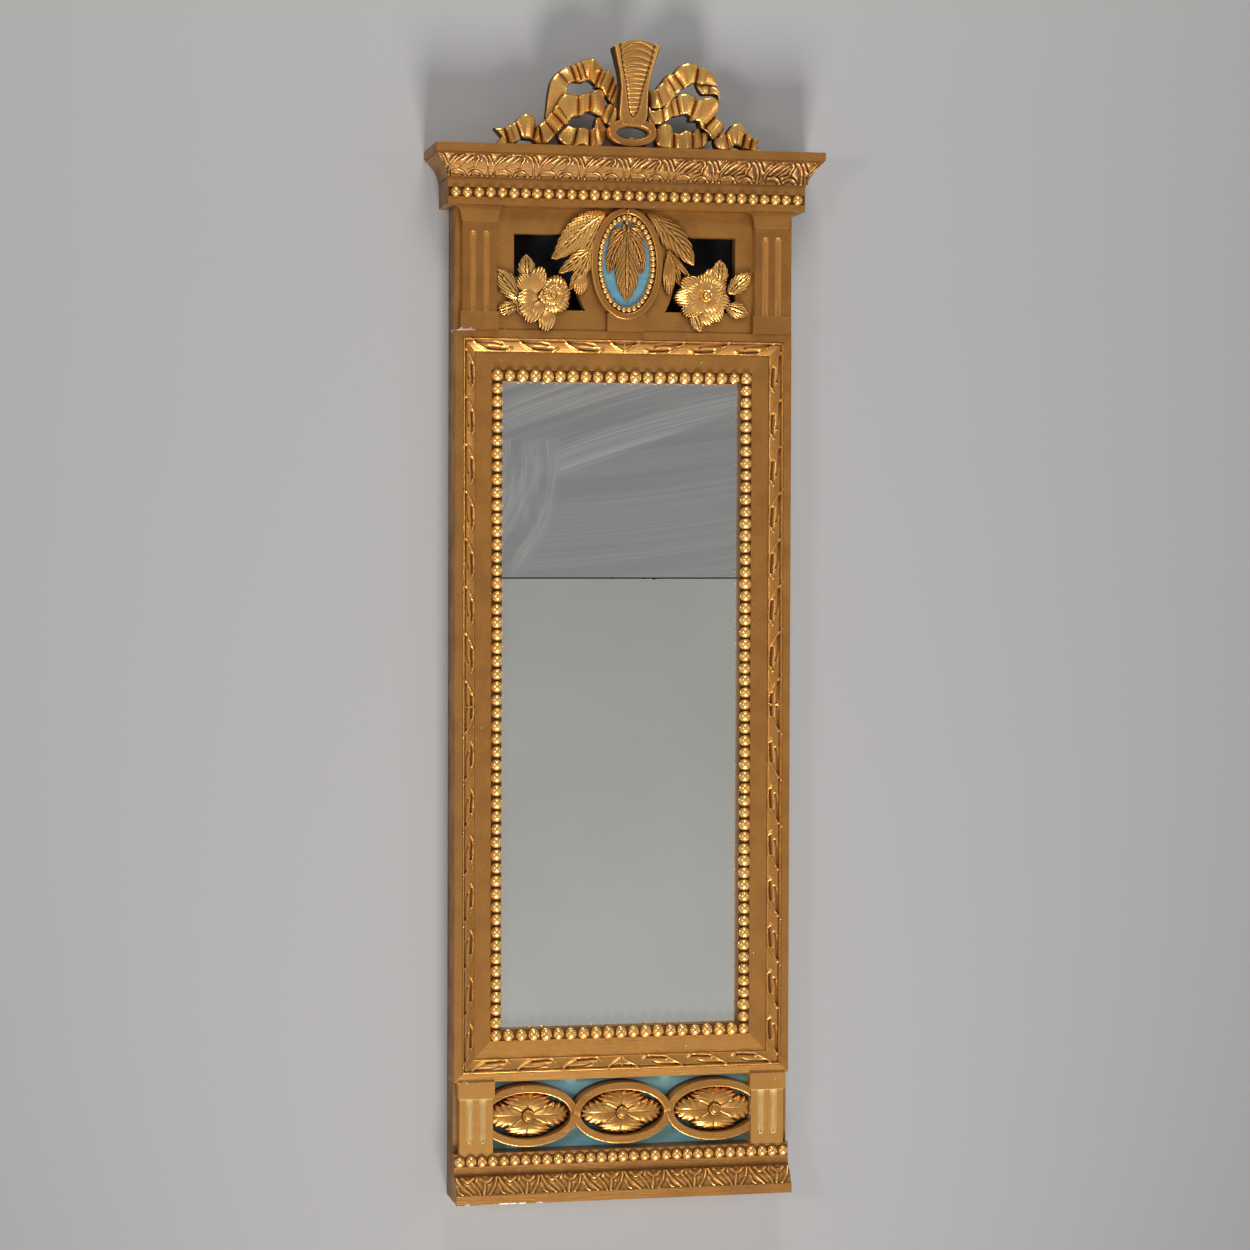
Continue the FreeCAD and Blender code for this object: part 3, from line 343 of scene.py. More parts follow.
clayed = between(tree, clay_share, toned, given["Clay"])
speck_share = plus(tree, times(tree, specks, 0.35), times(tree, grain, 0.42))
streaked = between(tree, speck_share, clayed, given["Tarnish"])
flecks = ramp(tree, noise(tree, places, 360, 1), 0.80, 0.815)
across, height = parts_of(tree, places)
chips = None
for joint, left_of in ((frame_top, -146.0), (base_top, -152.0), (underside, -80.0)):
    off = combine(tree, "ABSOLUTE", minus(tree, height, joint * MM))
    near_joint = minus(tree, 1.0, ramp(tree, off, 0.3 * MM, 1.6 * MM))
    here = times(tree, near_joint, combine(tree, "LESS_THAN", across, left_of * MM))
    chips = here if chips is None else combine(tree, "MAXIMUM", chips, here)
broken = ramp(tree, noise(tree, places, 150, 3), 0.50, 0.56)
bare_share = combine(tree, "MAXIMUM", times(tree, chips, broken), flecks)
gesso = (0.85, 0.80, 0.70, 1)
rough = plus(tree, given["Smoothness"], times(tree, blotches, 0.12))
feed(tree, leave, {"Color": between(tree, bare_share, streaked, gesso),
                   "Roughness": plus(tree, rough, times(tree, grain, 0.10)),
                   "Height": plus(tree, times(tree, grain, 0.5), times(tree, specks, 0.3))})
print("group:", old_gilding.name)

# %% One gilded finish
pine_light = (0.46, 0.27, 0.13, 1)
pine_dark = (0.27, 0.14, 0.06, 1)


def bare_behind(tree, places, colour):
    """The colour, but bare pine on faces that look to the wall, and where that is."""
    normal = new_node(tree, "NewGeometry", {}, "True Normal")
    behind = combine(tree, "GREATER_THAN", parts_of(tree, normal, "Y")[0], 0.5)
    pine = between(tree, noise(tree, places, 300, 3, (0.05, 1, 1)), pine_light, pine_dark)
    return between(tree, behind, colour, pine), behind


def gilding(name, leaf, tarnish_colour, clay, wear, look, hollow, reach=5.0, upright=0.0,
            closed=0.18, free=0.82, outline=0.0, bare_back=True):
    """Gold leaf on wood. Wear is the amounts of tarnish and of bare clay. Look is how rough and
    how metallic the gold is, and how strong its bumps are. Hollow is the colour painted into
    places that are closed in within the reach, as painted shade with some dirt, and in flutes as
    a painted highlight: wholly so at the closed share of free sky, and not at all at the free
    share. Outline is how dark the painted line of shade on the border between the two is.
    Ridges of the carving get a painted highlight and its valleys the hollow colour."""
    material, tree, shader = new_material(name)
    group = tree.nodes.new("ShaderNodeGroup")
    group.node_tree = old_gilding
    roughness, metal, bump_strength = look
    feed(tree, group, {"Leaf": leaf, "Tarnish": tarnish_colour, "Clay": clay,
                       "Tarnish amount": wear[0], "Clay amount": wear[1],
                       "Smoothness": roughness, "Upright": upright})
    # Places closed in by the carving take the hollow colour: painted shade, together with some
    # dirt.
    open_share = ramp(tree, open_sky(tree, reach), closed, free)
    relief = new_node(tree, "Attribute", {}, "Fac", attribute_name="relief")
    high = ramp(tree, relief, 0.04, 0.40)
    low = ramp(tree, times(tree, relief, -1.0), 0.04, 0.45)
    # Ridges take a painted highlight and valleys the hollow colour as painted shade, partly also
    # rub and dirt.
    bright = tuple(min(part * 1.5, 0.98) for part in leaf[:3]) + (1,)
    rubbed = between(tree, times(tree, high, 0.6), group.outputs["Color"], bright)
    worn = between(tree, times(tree, low, 0.88), rubbed, hollow)
    colour = between(tree, open_share, hollow, worn)
    # The outline paints a dark line of shade along the border of the hollows.
    if outline:
        border = times(tree, open_share, minus(tree, 1.0, open_share))
        colour = between(tree, times(tree, border, 4 * outline), colour, clay)
    if bare_back:
        colour, behind = bare_behind(tree, object_places(tree), colour)
        metal = times(tree, minus(tree, 1.0, behind), metal)
    dull = times(tree, minus(tree, low, high), 0.09)
    feed(tree, shader, {"Base Color": colour, "Metallic": metal,
                        "Roughness": plus(tree, group.outputs["Roughness"], dull)})
    bump(tree, shader, group.outputs["Height"], bump_strength, 0.3)
    return material


# %% [markdown]
# ## The gilder's colours
# Gold leaf is thin, and its colour follows the clay under it, the burnishing and the dirt. Flat
# wood was left matt and carving was burnished. Every finish is the same recipe with its own
# colours, so a change to the recipe changes them all.

# %% Gilded finishes
red_clay = (0.30, 0.09, 0.02, 1)
brown_clay = (0.40, 0.13, 0.03, 1)
pearl_clay = (0.36, 0.11, 0.03, 1)
flat_leaf, flat_tarnish = (0.45, 0.202, 0.042, 1), (0.27, 0.113, 0.024, 1)
# Hollow colours are painted shade in corners, valleys and gaps between pearls and petals, together
# with some dirt.
flat_hollow_shade = (0.15, 0.055, 0.014, 1)
deep_hollow_shade = (0.09, 0.034, 0.010, 1)
pearl_gap_shade = (0.058, 0.022, 0.007, 1)
flat_wear, flat_look = (0.75, 0.20), (0.34, 0.60, 0.5)
carved_wear, pearl_look = (0.55, 0.12), (0.235, 0.76, 0.1)
fluted = {"reach": 8.0, "upright": 1.0, "free": 0.97}

flat_gold = gilding("flat_gold", flat_leaf, flat_tarnish, red_clay, flat_wear, flat_look,
                    flat_hollow_shade)
upright_gold = gilding("upright_gold", flat_leaf, flat_tarnish, red_clay, flat_wear, flat_look,
                       flat_hollow_shade, upright=1.0)
# A lighter copy of the flat gold for the bottom rail: painted light from below.
lit_low_gold = gilding("lit_low_gold", (0.66, 0.31, 0.072, 1), (0.42, 0.19, 0.042, 1), red_clay, flat_wear,
                   flat_look, flat_hollow_shade)
# In the flutes the hollow colour is lighter than the face, a painted highlight, and the outline
# paints a dark line of shade along their edges.
fluted_gold = gilding("fluted_gold", (0.38, 0.168, 0.035, 1), (0.23, 0.095, 0.020, 1), red_clay,
                      flat_wear, flat_look, (0.64, 0.33, 0.08, 1), closed=0.62, outline=0.35,
                      **fluted)
# A lighter copy for the base blocks, painted light from below, with a painted highlight in the
# flutes and a painted dark line of shade along their edges.
lit_base_fluted_gold = gilding("lit_base_fluted_gold", (0.68, 0.335, 0.08, 1), (0.46, 0.21, 0.048, 1),
                           red_clay, (0.7, 0.15), (0.26, 0.66, 0.5), (1.0, 0.76, 0.34, 1),
                           closed=0.70, outline=0.5, **fluted)
carved_gold = gilding("carved_gold", (0.95, 0.475, 0.130, 1), (0.58, 0.260, 0.062, 1),
                      brown_clay, carved_wear, (0.20, 0.72, 0.2), (0.17, 0.064, 0.017, 1),
                      reach=4.5)
# Its very dark hollow colour paints the shade in the gaps between the petals.
petal_gold = gilding("petal_gold", (0.84, 0.43, 0.124, 1), (0.54, 0.25, 0.064, 1), brown_clay,
                     carved_wear, (0.22, 0.70, 0.2), (0.085, 0.031, 0.009, 1), closed=0.28,
                     free=0.92)
ribbon_gold = gilding("ribbon_gold", (0.56, 0.262, 0.060, 1), (0.32, 0.140, 0.032, 1), red_clay,
                      (0.65, 0.15), (0.28, 0.70, 0.3), (0.075, 0.028, 0.008, 1), reach=4.0)
# A lighter copy of the ribbon gold for the bottom side: painted light from below.
lit_low_ribbon_gold = gilding("lit_low_ribbon_gold", (0.74, 0.355, 0.085, 1), (0.46, 0.205, 0.048, 1),
                          red_clay, (0.65, 0.15), (0.28, 0.68, 0.3), deep_hollow_shade, reach=4.0)
moulding_gold = gilding("moulding_gold", (0.58, 0.282, 0.068, 1), (0.33, 0.150, 0.036, 1), red_clay,
                        (0.6, 0.15), (0.27, 0.70, 0.25), deep_hollow_shade, reach=4.0)
cornice_gold = gilding("cornice_gold", (0.38, 0.178, 0.041, 1), (0.235, 0.103, 0.023, 1), red_clay,
                       (0.6, 0.15), (0.33, 0.60, 0.25), (0.045, 0.017, 0.006, 1), reach=4.0)
pearl_gold = gilding("pearl_gold", (0.92, 0.52, 0.155, 1), (0.64, 0.32, 0.085, 1), pearl_clay,
                     (0.55, 0.15), pearl_look, pearl_gap_shade, reach=2.4, bare_back=False)
# A lighter, shinier copy of the pearl gold: painted light for the rows that the lamps light too
# little.
lit_pearl_gold = gilding("lit_pearl_gold", (1.0, 0.60, 0.19, 1), (0.80, 0.42, 0.12, 1),
                            pearl_clay, (0.45, 0.10), (0.21, 0.76, 0.1), pearl_gap_shade, reach=2.4,
                            bare_back=False)
dark_gold = gilding("dark_gold", (0.34, 0.165, 0.048, 1), (0.20, 0.09, 0.025, 1),
                    (0.22, 0.07, 0.02, 1), (0.8, 0.2), (0.42, 0.45, 0.35), (0.08, 0.03, 0.010, 1),
                    upright=1.0)
# A near-black gold for faces that look sideways: painted shade on the sides of the carving.
shaded_side_gold = gilding("shaded_side_gold", (0.15, 0.072, 0.022, 1), (0.07, 0.032, 0.011, 1),
                       (0.14, 0.045, 0.015, 1), (0.8, 0.2), (0.45, 0.35, 0.3),
                       (0.03, 0.012, 0.005, 1))

# %% [markdown]
# ## Mirror glass
# The upper pane is older than the lower one and has strokes left by a wiping cloth. A stroke
# follows a circle, because the arm swings round its shoulder, so its streaks are noise on
# distance and angle from a centre. The joint between the panes is a dark line with small chips.

# %% Mirror glass


def wiping(tree, places, centre):
    """Strokes of a cloth: broad bands of fine streaks that follow circles round a centre."""
    moved = new_node(tree, "VectorMath", {0: places, 1: centre}, operation="SUBTRACT")
    away = new_node(tree, "VectorMath", {0: moved}, "Value", operation="LENGTH")
    across, height = parts_of(tree, moved)
    angle = combine(tree, "ARCTAN2", height, across)
    polar = new_node(tree, "CombineXYZ", {"X": away, "Y": angle})
    bands = ramp(tree, noise(tree, polar, 1, 3, (48, 2.2, 1)), 0.34, 0.54)
    streaks = ramp(tree, noise(tree, polar, 1, 3, (560, 4, 1)), 0.36, 0.62)
    return times(tree, bands, plus(tree, times(tree, streaks, 0.7), 0.3))


def wiping_marks(tree, places, across, height):
    """Three sets of strokes: arcs at the left, long slanting ones above and level ones below.
    Their centres and borders are in metres, as object places are."""
    arc_centre = (-0.236, 0, 0.686)
    long_strokes = wiping(tree, places, (0.326, 0, -0.34))
    level_strokes = times(tree, wiping(tree, places, (-0.18, 0, 2.4)), 0.35)
    slanting = minus(tree, height, times(tree, across, 0.353))
    strokes = between(tree, ramp(tree, slanting, 0.687, 0.693), level_strokes, long_strokes, True)
    from_arcs = new_node(tree, "VectorMath", {0: places, 1: arc_centre}, "Value",
                         operation="DISTANCE")
    outside = combine(tree, "MAXIMUM", ramp(tree, from_arcs, 0.168, 0.182),
                      ramp(tree, height, 0.698, 0.706))
    arcs = times(tree, wiping(tree, places, arc_centre), 0.8)
    return between(tree, outside, arcs, strokes, True)


def mirror_glass(name, tint, haze, wiped, edge_width):
    """Silvered glass whose edge at the joint of the panes is dark over the given width."""
    material, tree, shader = new_material(name)
    places = object_places(tree)
    across, height = parts_of(tree, places)
    cloud = ramp(tree, noise(tree, places, 6, 4), 0.35, 0.7)
    rough = times(tree, cloud, haze)
    colour = between(tree, cloud, tint, shaded(tint, 0.94))
    if wiped:
        wipes = wiping_marks(tree, places, across, height)
        rough = plus(tree, rough, times(tree, wipes, 0.05))
        colour = between(tree, times(tree, wipes, 0.8), colour, shaded(tint, 1.5))
    off = combine(tree, "ABSOLUTE", minus(tree, height, pane_joint * MM))
    chipped = times(tree, ramp(tree, noise(tree, places, 75, 2), 0.62, 0.75), 1.6 * MM)
    edge = combine(tree, "LESS_THAN", off, plus(tree, chipped, edge_width * MM))
    joint_black = (0.02, 0.018, 0.015, 1)
    feed(tree, shader, {"Base Color": between(tree, edge, colour, joint_black),
                        "Metallic": 0.9, "Roughness": plus(tree, rough, 0.06)})
    return material


old_mirror = mirror_glass("old_mirror", (0.61, 0.61, 0.595, 1), 0.12, True, 1.2)
clear_mirror = mirror_glass("clear_mirror", (0.85, 0.85, 0.79, 1), 0.03, False, 0.1)

# %% [markdown]
# ## Paint, pine and steel
# The blue ground is brushed paint, darkened in corners as painted shade, and the base panel in
# its recess has a lighter copy of it as painted light. The board behind the frieze is nearly
# black, which is painted shade of the deep box. The hidden boards are bare pine with long
# grain, and the fittings are steel. Brush lines and grain are noise that is stretched along
# the board, which has no seams and needs no picture.

# %% Paint, pine and steel


def brushed_paint(name, colour, worn, roughness, fine, deep_share=0.25):
    """Matte paint with brush lines along the board. In corners the deep share of its colour is
    left, as painted shade.
    """
    material, tree, shader = new_material(name)
    places = object_places(tree)
    lines = noise(tree, places, fine, 4, (0.12, 1, 1))
    patches = noise(tree, places, 26, 4)
    share = times(tree, ramp(tree, lines, 0.3, 0.75), 0.75)
    toned = between(tree, share, colour, worn)
    # Painted shade: corners that see little sky are darkened to the deep share of the colour.
    deep = shaded(colour, deep_share)
    final = between(tree, ramp(tree, open_sky(tree, 7), 0.1, 0.8), deep, toned)
    feed(tree, shader, {"Base Color": bare_behind(tree, places, final)[0],
                        "Roughness": plus(tree, times(tree, patches, 0.2), roughness)})
    bump(tree, shader, lines, 0.3, 0.2)
    return material


blue_paint = brushed_paint("blue_paint", (0.085, 0.215, 0.285, 1), (0.135, 0.30, 0.37, 1),
                           0.5, 240)
# A much lighter copy of the blue, with no darkening in corners, for the base panel in its recess:
# painted light.
lit_blue_paint = brushed_paint("lit_blue_paint", (0.26, 0.74, 0.98, 1), (0.38, 0.86, 1.0, 1),
                            0.5, 240, 1.0)
# Nearly black: painted shade of the deep frieze box, on its back board.
dark_paint = brushed_paint("dark_paint", (0.0035, 0.0038, 0.0045, 1),
                           (0.005, 0.0055, 0.0065, 1), 0.85, 120)


def bare_wood(name, colour, dark):
    """Old pine: long soft grain with darker winter rings."""
    material, tree, shader = new_material(name)
    places = object_places(tree)
    stretched = new_node(tree, "Mapping", {"Vector": places, "Scale": (1, 1, 0.09)})
    waves = {"Vector": stretched, "Scale": 55, "Distortion": 5, "Detail": 3}
    rings = new_node(tree, "TexWave", waves, "Fac", bands_direction="X")
    fibres = noise(tree, places, 300, 3, (1, 1, 0.05))
    share = times(tree, plus(tree, rings, fibres), 0.5)
    feed(tree, shader, {"Base Color": between(tree, share, colour, dark), "Roughness": 0.8})
    bump(tree, shader, fibres, 0.3, 0.3)
    return material


bare_pine = bare_wood("bare_pine", pine_light, pine_dark)
dull_steel, tree, shader = new_material("dull_steel")
rust = ramp(tree, noise(tree, object_places(tree), 180, 4), 0.5, 0.7)
steel_colour = between(tree, rust, (0.30, 0.29, 0.28, 1), (0.16, 0.10, 0.06, 1))
feed(tree, shader, {"Base Color": steel_colour, "Metallic": 0.9,
                    "Roughness": plus(tree, times(tree, rust, 0.3), 0.35)})

# %% [markdown]
# ## The plain pieces
# Boards, rails, boxes and panes are already right in the solid model, so they only get a
# finish. The model's record names a slot for each one. A few pieces differ from the others of
# their slot, such as the sides of the boxes, whose gold is darker.

# %% Give the solids their finishes
finish_by_slot = {"gilded_wood": flat_gold, "bare_pine": bare_pine, "blue_paint": blue_paint,
                  "dark_paint": dark_paint, "old_mirror": old_mirror, "clear_mirror": clear_mirror,
                  "steel": dull_steel}
# The base panel's blue and the bottom rail's gold are lighter copies of their finishes: painted
# light.
finish_by_node = {"cornice_returns": dark_gold, "base_panel": lit_blue_paint,
                  "frame_rail_bottom": lit_low_gold}
for side in ("left", "right"):
    for level in ("lower", "middle", "upper"):
        finish_by_node[f"{level}_side_{side}"] = dark_gold
    finish_by_node["frame_stile_" + side] = upright_gold
    # The pilasters' flutes carry painted highlight and painted shade in their finishes.
    finish_by_node["frieze_pilaster_" + side] = fluted_gold
    finish_by_node["base_pilaster_" + side] = lit_base_fluted_gold
slot_of = {part["node"]: part["material_slot"] for part in frame["record"]["subparts"]}
for name, solid in nodes.items():
    solid.data.materials.clear()
    solid.data.materials.append(finish_by_node.get(name, finish_by_slot[slot_of[name]]))
print("finishes:", len(finish_by_slot), "and", len(finish_by_node))

# %% [markdown]
# ## A carver's tools
# Most of the ornament is relief: a front that rises and falls over a flat back. It starts as a
# plain grid. The grid takes its shape from a small function of two shares, one along and one
# across, then its rim is extruded back to the seat and closed. Rings have no rim, so for these
# the grid is wrapped right round until its edges meet. A grid was chosen over cuts in a solid
# because its points can follow every rib and groove of the carving.

# %% Tools for relief
side_slope = 0.15
relief_reach = 2.2


def in_mode(mode):
    bpy.ops.object.mode_set(mode=mode)


def read_points(piece):
    flat = np.empty(len(piece.data.vertices) * 3)
    piece.data.vertices.foreach_get("co", flat)
    return flat.reshape(-1, 3)


def write_points(piece, points):
    piece.data.vertices.foreach_set("co", points.reshape(-1))
    piece.data.update()


def shaped_grid(name, along, across, front):
    """A grid whose points go where front(along share, across share) says: x, depth, height.
    Its relief attribute says how far each point stands above the surface round it."""
    deselect()
    bpy.ops.mesh.primitive_grid_add(x_subdivisions=along, y_subdivisions=across, size=2)
    piece = bpy.context.object
    piece.name = name
    spots = read_points(piece)
    u, v = (spots[:, 0] + 1) / 2, (spots[:, 1] + 1) / 2
    x, depth, z = front(u, v)
    flat = np.zeros(len(spots))
    write_points(piece, np.column_stack([x + flat, flat - depth, z + flat]) * MM)
    around = flat
    for move_u, move_v in ((-1, 0), (1, 0), (0, -1), (0, 1)):
        near_u = np.clip(u + move_u * relief_reach / along, 0, 1)
        near_v = np.clip(v + move_v * relief_reach / across, 0, 1)
        around = around + front(near_u, near_v)[1] / 4
    relief = piece.data.attributes.new("relief", "FLOAT", "POINT")
    relief.data.foreach_set("value", depth + flat - around)
    return piece


def face_outwards(piece, angle=65):
    """Closed shell: its normals point out, and it is smooth but for sharp edges."""
    in_mode("EDIT")
    bpy.ops.mesh.select_all(action="SELECT")
    bpy.ops.mesh.normals_make_consistent(inside=False)
    in_mode("OBJECT")
    bpy.ops.object.shade_smooth_by_angle(angle=math.radians(angle))


def carved(name, along, across, front, seat):
    """Relief on a flat or sloping seat: seat(x, z) is its depth from the wall."""
    piece = shaped_grid(name, along, across, front)
    in_mode("EDIT")
    bpy.ops.mesh.select_all(action="SELECT")
    bpy.ops.mesh.remove_doubles(threshold=0.02 * MM)
    bpy.ops.mesh.select_all(action="SELECT")
    bpy.ops.mesh.region_to_loop()
    bpy.ops.mesh.extrude_edges_move()
    in_mode("OBJECT")
    points = read_points(piece)
    rim = np.empty(len(points), dtype=bool)
    piece.data.vertices.foreach_get("select", rim)
    points[rim, 1] = -MM * seat(points[rim, 0] / MM, points[rim, 2] / MM)
    write_points(piece, points)
    in_mode("EDIT")
    bpy.ops.mesh.edge_face_add()
    in_mode("OBJECT")
    face_outwards(piece)
    return piece


def wrapped(name, along, around, surface, angle):
    """A closed body whose grid meets itself, such as a ring or a rod."""
    piece = shaped_grid(name, along, around, surface)
    in_mode("EDIT")
    bpy.ops.mesh.select_all(action="SELECT")
    bpy.ops.mesh.remove_doubles(threshold=0.02 * MM)
    in_mode("OBJECT")
    face_outwards(piece, angle)
    return piece


def joined(name, pieces):
    """Several shapes as one piece."""
    deselect()
    for piece in pieces:
        piece.select_set(True)
    bpy.context.view_layer.objects.active = pieces[0]
    if len(pieces) > 1:
        bpy.ops.object.join()
    pieces[0].name = name
    pieces[0].data.name = name
    return pieces[0]


def finished(piece, material, *replaced, slot="gilded_wood", sides=None):
    """The piece gets its finish, rides on the mirror and stands for its solids. Sides is a
    second finish, for faces that look sideways, which paints shade on them."""
    piece.data.materials.clear()
    piece.data.materials.append(material)
    if sides is not None:
        piece.data.materials.append(sides)
        for face in piece.data.polygons:
            face.material_index = 1 if abs(face.normal.y) < side_slope else 0
    if replaced:
        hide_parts(*replaced)
    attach(piece, "mirror")
    print(piece.name, len(piece.data.polygons), "faces")
    return piece


def level_seat(depth):
    """A flat seat at one depth."""
    return lambda x, z: np.full(len(x), float(depth))


def eased(value):
    """A smooth step from zero to one."""
    value = np.clip(value, 0, 1)
    return value * value * (3 - 2 * value)


def rounded(share, lip):
    """One in the middle, and round down to zero within the lip at each edge."""
    edge = np.clip(np.minimum(share, 1 - share) / lip, 0, 1)
    return np.sqrt(1 - (1 - edge) ** 2)


def distance_to_line(x, y, line):
    """Distance from each point to a line of straight runs."""
    best = np.full(len(x), 1e9)
    for (ax, ay), (bx, by) in zip(line[:-1], line[1:]):
        run_x, run_y = bx - ax, by - ay
        share = ((x - ax) * run_x + (y - ay) * run_y) / (run_x ** 2 + run_y ** 2)
        share = np.clip(share, 0, 1)
        best = np.minimum(best, np.hypot(x - ax - share * run_x, y - ay - share * run_y))
    return best


def softened(line):
    """The same line with its corners cut off twice, which makes a curve of it."""
    for turn in range(2):
        cut = [line[0]]
        for (ax, ay), (bx, by) in zip(line[:-1], line[1:]):
            cut.append((0.75 * ax + 0.25 * bx, 0.75 * ay + 0.25 * by))
            cut.append((0.25 * ax + 0.75 * bx, 0.25 * ay + 0.75 * by))
        line = cut + [line[-1]]
    return line


# %% [markdown]
# ## Pearl rows
# Each pearl is turned with a hollow punch: nearly a whole ball that stands in a narrow channel.
# One ball is made from a sphere, cut flat where it meets the wood and copied along the row.
# Every copy is a little larger or smaller, because each pearl was cut by hand. A row of equal
# balls would look cast.

# %% Pearls
pearl_lift = 0.2
channel_lip = 0.9


def new_pearl(radius, sunk):
    """A ball whose back is cut off: sunk is how far its middle lies in front of the cut."""
    deselect()
    bpy.ops.mesh.primitive_uv_sphere_add(segments=16, ring_count=10, radius=radius * MM)
    pearl = bpy.context.object
    in_mode("EDIT")
    bpy.ops.mesh.select_all(action="SELECT")
    bpy.ops.mesh.bisect(plane_co=(0, sunk * MM, 0), plane_no=(0, 1, 0), use_fill=True,
                        clear_outer=True)
    in_mode("OBJECT")
    bpy.ops.object.shade_smooth()
    return pearl


def strung(pearl, spots):
    """Copies of one pearl, each at its own spot and of its own size."""
    copies = []
    for x, depth, z in spots:
        copy = bpy.data.objects.new("pearl", pearl.data.copy())
        bpy.context.scene.collection.objects.link(copy)
        points = read_points(copy)
        size = chance.uniform(0.94, 1.04)
        stretch = [size * chance.uniform(0.95, 1.03), 1.0, size * chance.uniform(0.95, 1.03)]
        x = x + chance.uniform(-0.25, 0.25)
        z = z + chance.uniform(-0.2, 0.2)
        middle = np.array([x, -(depth + pearl_lift), z])
        write_points(copy, points * np.array(stretch) + middle * MM)
        copies.append(copy)
    bpy.data.objects.remove(pearl)
    return copies


def channel(start, end, mitre, low_depth, high_depth, half_width):
    """The strip that the pearls stand in, with a raised edge along both sides.
    Start and end are (x, z) on its middle line, and mitre shortens its inner side."""
    run = np.array([end[0] - start[0], end[1] - start[1]])
    length = float(np.hypot(*run))
    run = run / length
    side = np.array([-run[1], run[0]])

    def front(u, v):
        across = (2 * v - 1) * half_width
        trim = mitre * across
        along = trim + (length - 2 * trim) * u
        edge = np.clip((np.abs(across) - half_width) / channel_lip + 1, 0, 1)
        depth = high_depth + 0.15 * eased(edge * 2) * (1 - eased(edge * 2 - 1.4))
        x = start[0] + run[0] * along + side[0] * across
        z = start[1] + run[1] * along + side[1] * across
        return x, depth, z

    strip = carved("channel", 2, 12, front, level_seat(low_depth))
    # Painted shade between the pearls: a low relief gives the strip the dark hollow colour.
    gap_shade = np.full(len(strip.data.vertices), -0.6)
    strip.data.attributes["relief"].data.foreach_set("value", gap_shade)
    return strip


def pearl_row(name, finish, radius, spots, strip, replaced):
    """Pearls at their spots in one channel. Strip is what the channel is made with."""
    pearls = strung(new_pearl(radius, 0.6), spots)
    return finished(joined(name, pearls + [channel(*strip)]), finish, replaced)


sight_line = rail_width - 10.5 / 2
pearl_seat = 20.0
inner_x = half_body - sight_line
low_z, high_z = base_top + sight_line, frame_top - sight_line
sight_rows = {"bottom": ((-inner_x, low_z), (inner_x, low_z), 20, True),
              "right": ((inner_x, low_z), (inner_x, high_z), 54, False),
              "top": ((inner_x, high_z), (-inner_x, high_z), 20, True),
              "left": ((-inner_x, high_z), (-inner_x, low_z), 51, False)}
for name, (start, end, count, with_corners) in sight_rows.items():
    spots = []
    first, last = (0, count + 1) if with_corners else (1, count)
    for step in range(first, last):
        share = step / count
        spots.append((start[0] + (end[0] - start[0]) * share, pearl_seat,
                      start[1] + (end[1] - start[1]) * share))
    strip = (start, end, 1.0, pearl_seat - 1, pearl_seat, 4.6)
    # Rows round the glass take the lighter pearl gold: painted light.
    pearl_row("sight_pearls_" + name, lit_pearl_gold, 5.75, spots, strip, "beads_" + name)


def straight_row(name, half_length, low, high, seat, finish, replaced):
    """A pearl row across the base or the cornice."""
    count = 31
    middle = (low + high) / 2
    pitch = 2 * half_length / count
    spots = [(-half_length + pitch * (step + 0.5), seat + 1, middle) for step in range(count)]
    half_width = (high - low) / 2 - 0.1
    strip = ((-half_length, middle), (half_length, middle), 0.0, seat, seat + 1, half_width)
    pearl_row(name, finish, 5.1, spots, strip, replaced)


# The base row takes the lighter pearl gold too: painted light.
straight_row("base_pearls", half_body, underside + 34, underside + 43.5, 27.0, lit_pearl_gold,
             "base_beads")
straight_row("cornice_pearls", half_body + 7.5, frieze_top + 6.5, frieze_top + 15.5, 34.5,
             pearl_gold, "cornice_beads")

# %% [markdown]
# ## The twisted ribbon round the glass
# A ribbon wound on a rod shows as long turns with sunk, eye-shaped hollows between them. The
# hollow is drawn once as an outline in shares of one turn. On every side of the frame the
# pattern runs from both ends to the middle, where the two directions meet. The height comes
# from distances to that outline, so one drawing serves all four sides.

# %% Ribbon twist
turn_length = 44.6
eye_ridge = [(0.0, 0.02), (0.10, 0.24), (0.22, 0.56), (0.40, 0.84), (0.60, 0.96), (0.84, 0.86),
             (0.92, 0.70)]
eye_groove = [(0.14, 0.27), (0.34, 0.31), (0.58, 0.31), (0.70, 0.46)]
eye_pit = [(0.42, 0.72), (0.60, 0.72), (0.80, 0.80)]
ribbon_out, ribbon_in = 7.5, 20.5
crown_out, crown_in = 28.0, 22.6
ribbon_start = 14.0
seat_out, seat_fall = 25.8, 6.0
ribbon_lip, lip_fall = 0.7, 1.4
grid_step = 0.62


def ribbon_height(along, inward, half_length):
    """Depth of the ribbon's face at a distance along the side and inward from its edge."""
    width = ribbon_in - ribbon_out
    across = (inward - ribbon_out) / width
    from_middle = np.abs(along)
    turn = (half_length - ribbon_start - from_middle) / turn_length
    share = turn - np.floor(turn)
    x, y = share * turn_length, across * width

    def near(line, breadth):
        sized = [(a * turn_length, b * width) for a, b in softened(line)]
        return np.exp(-(distance_to_line(x, y, sized) / breadth) ** 2)

    base = crown_out + (crown_in - crown_out) * across + 0.5 * np.sin(np.pi * across)
    lines = 1.0 * near(eye_ridge, 0.9) - 1.4 * near(eye_groove, 1.2) - 1.8 * near(eye_pit, 1.5)
    edge_rib = 1.1 * np.exp(-((across - 0.08) / 0.055) ** 2)
    edge_groove = 0.8 * np.exp(-((across - 0.20) / 0.05) ** 2)
    fits = (turn > 0) & (from_middle > turn_length * 0.02)
    return base + edge_rib - edge_groove + np.where(fits, lines, 0)


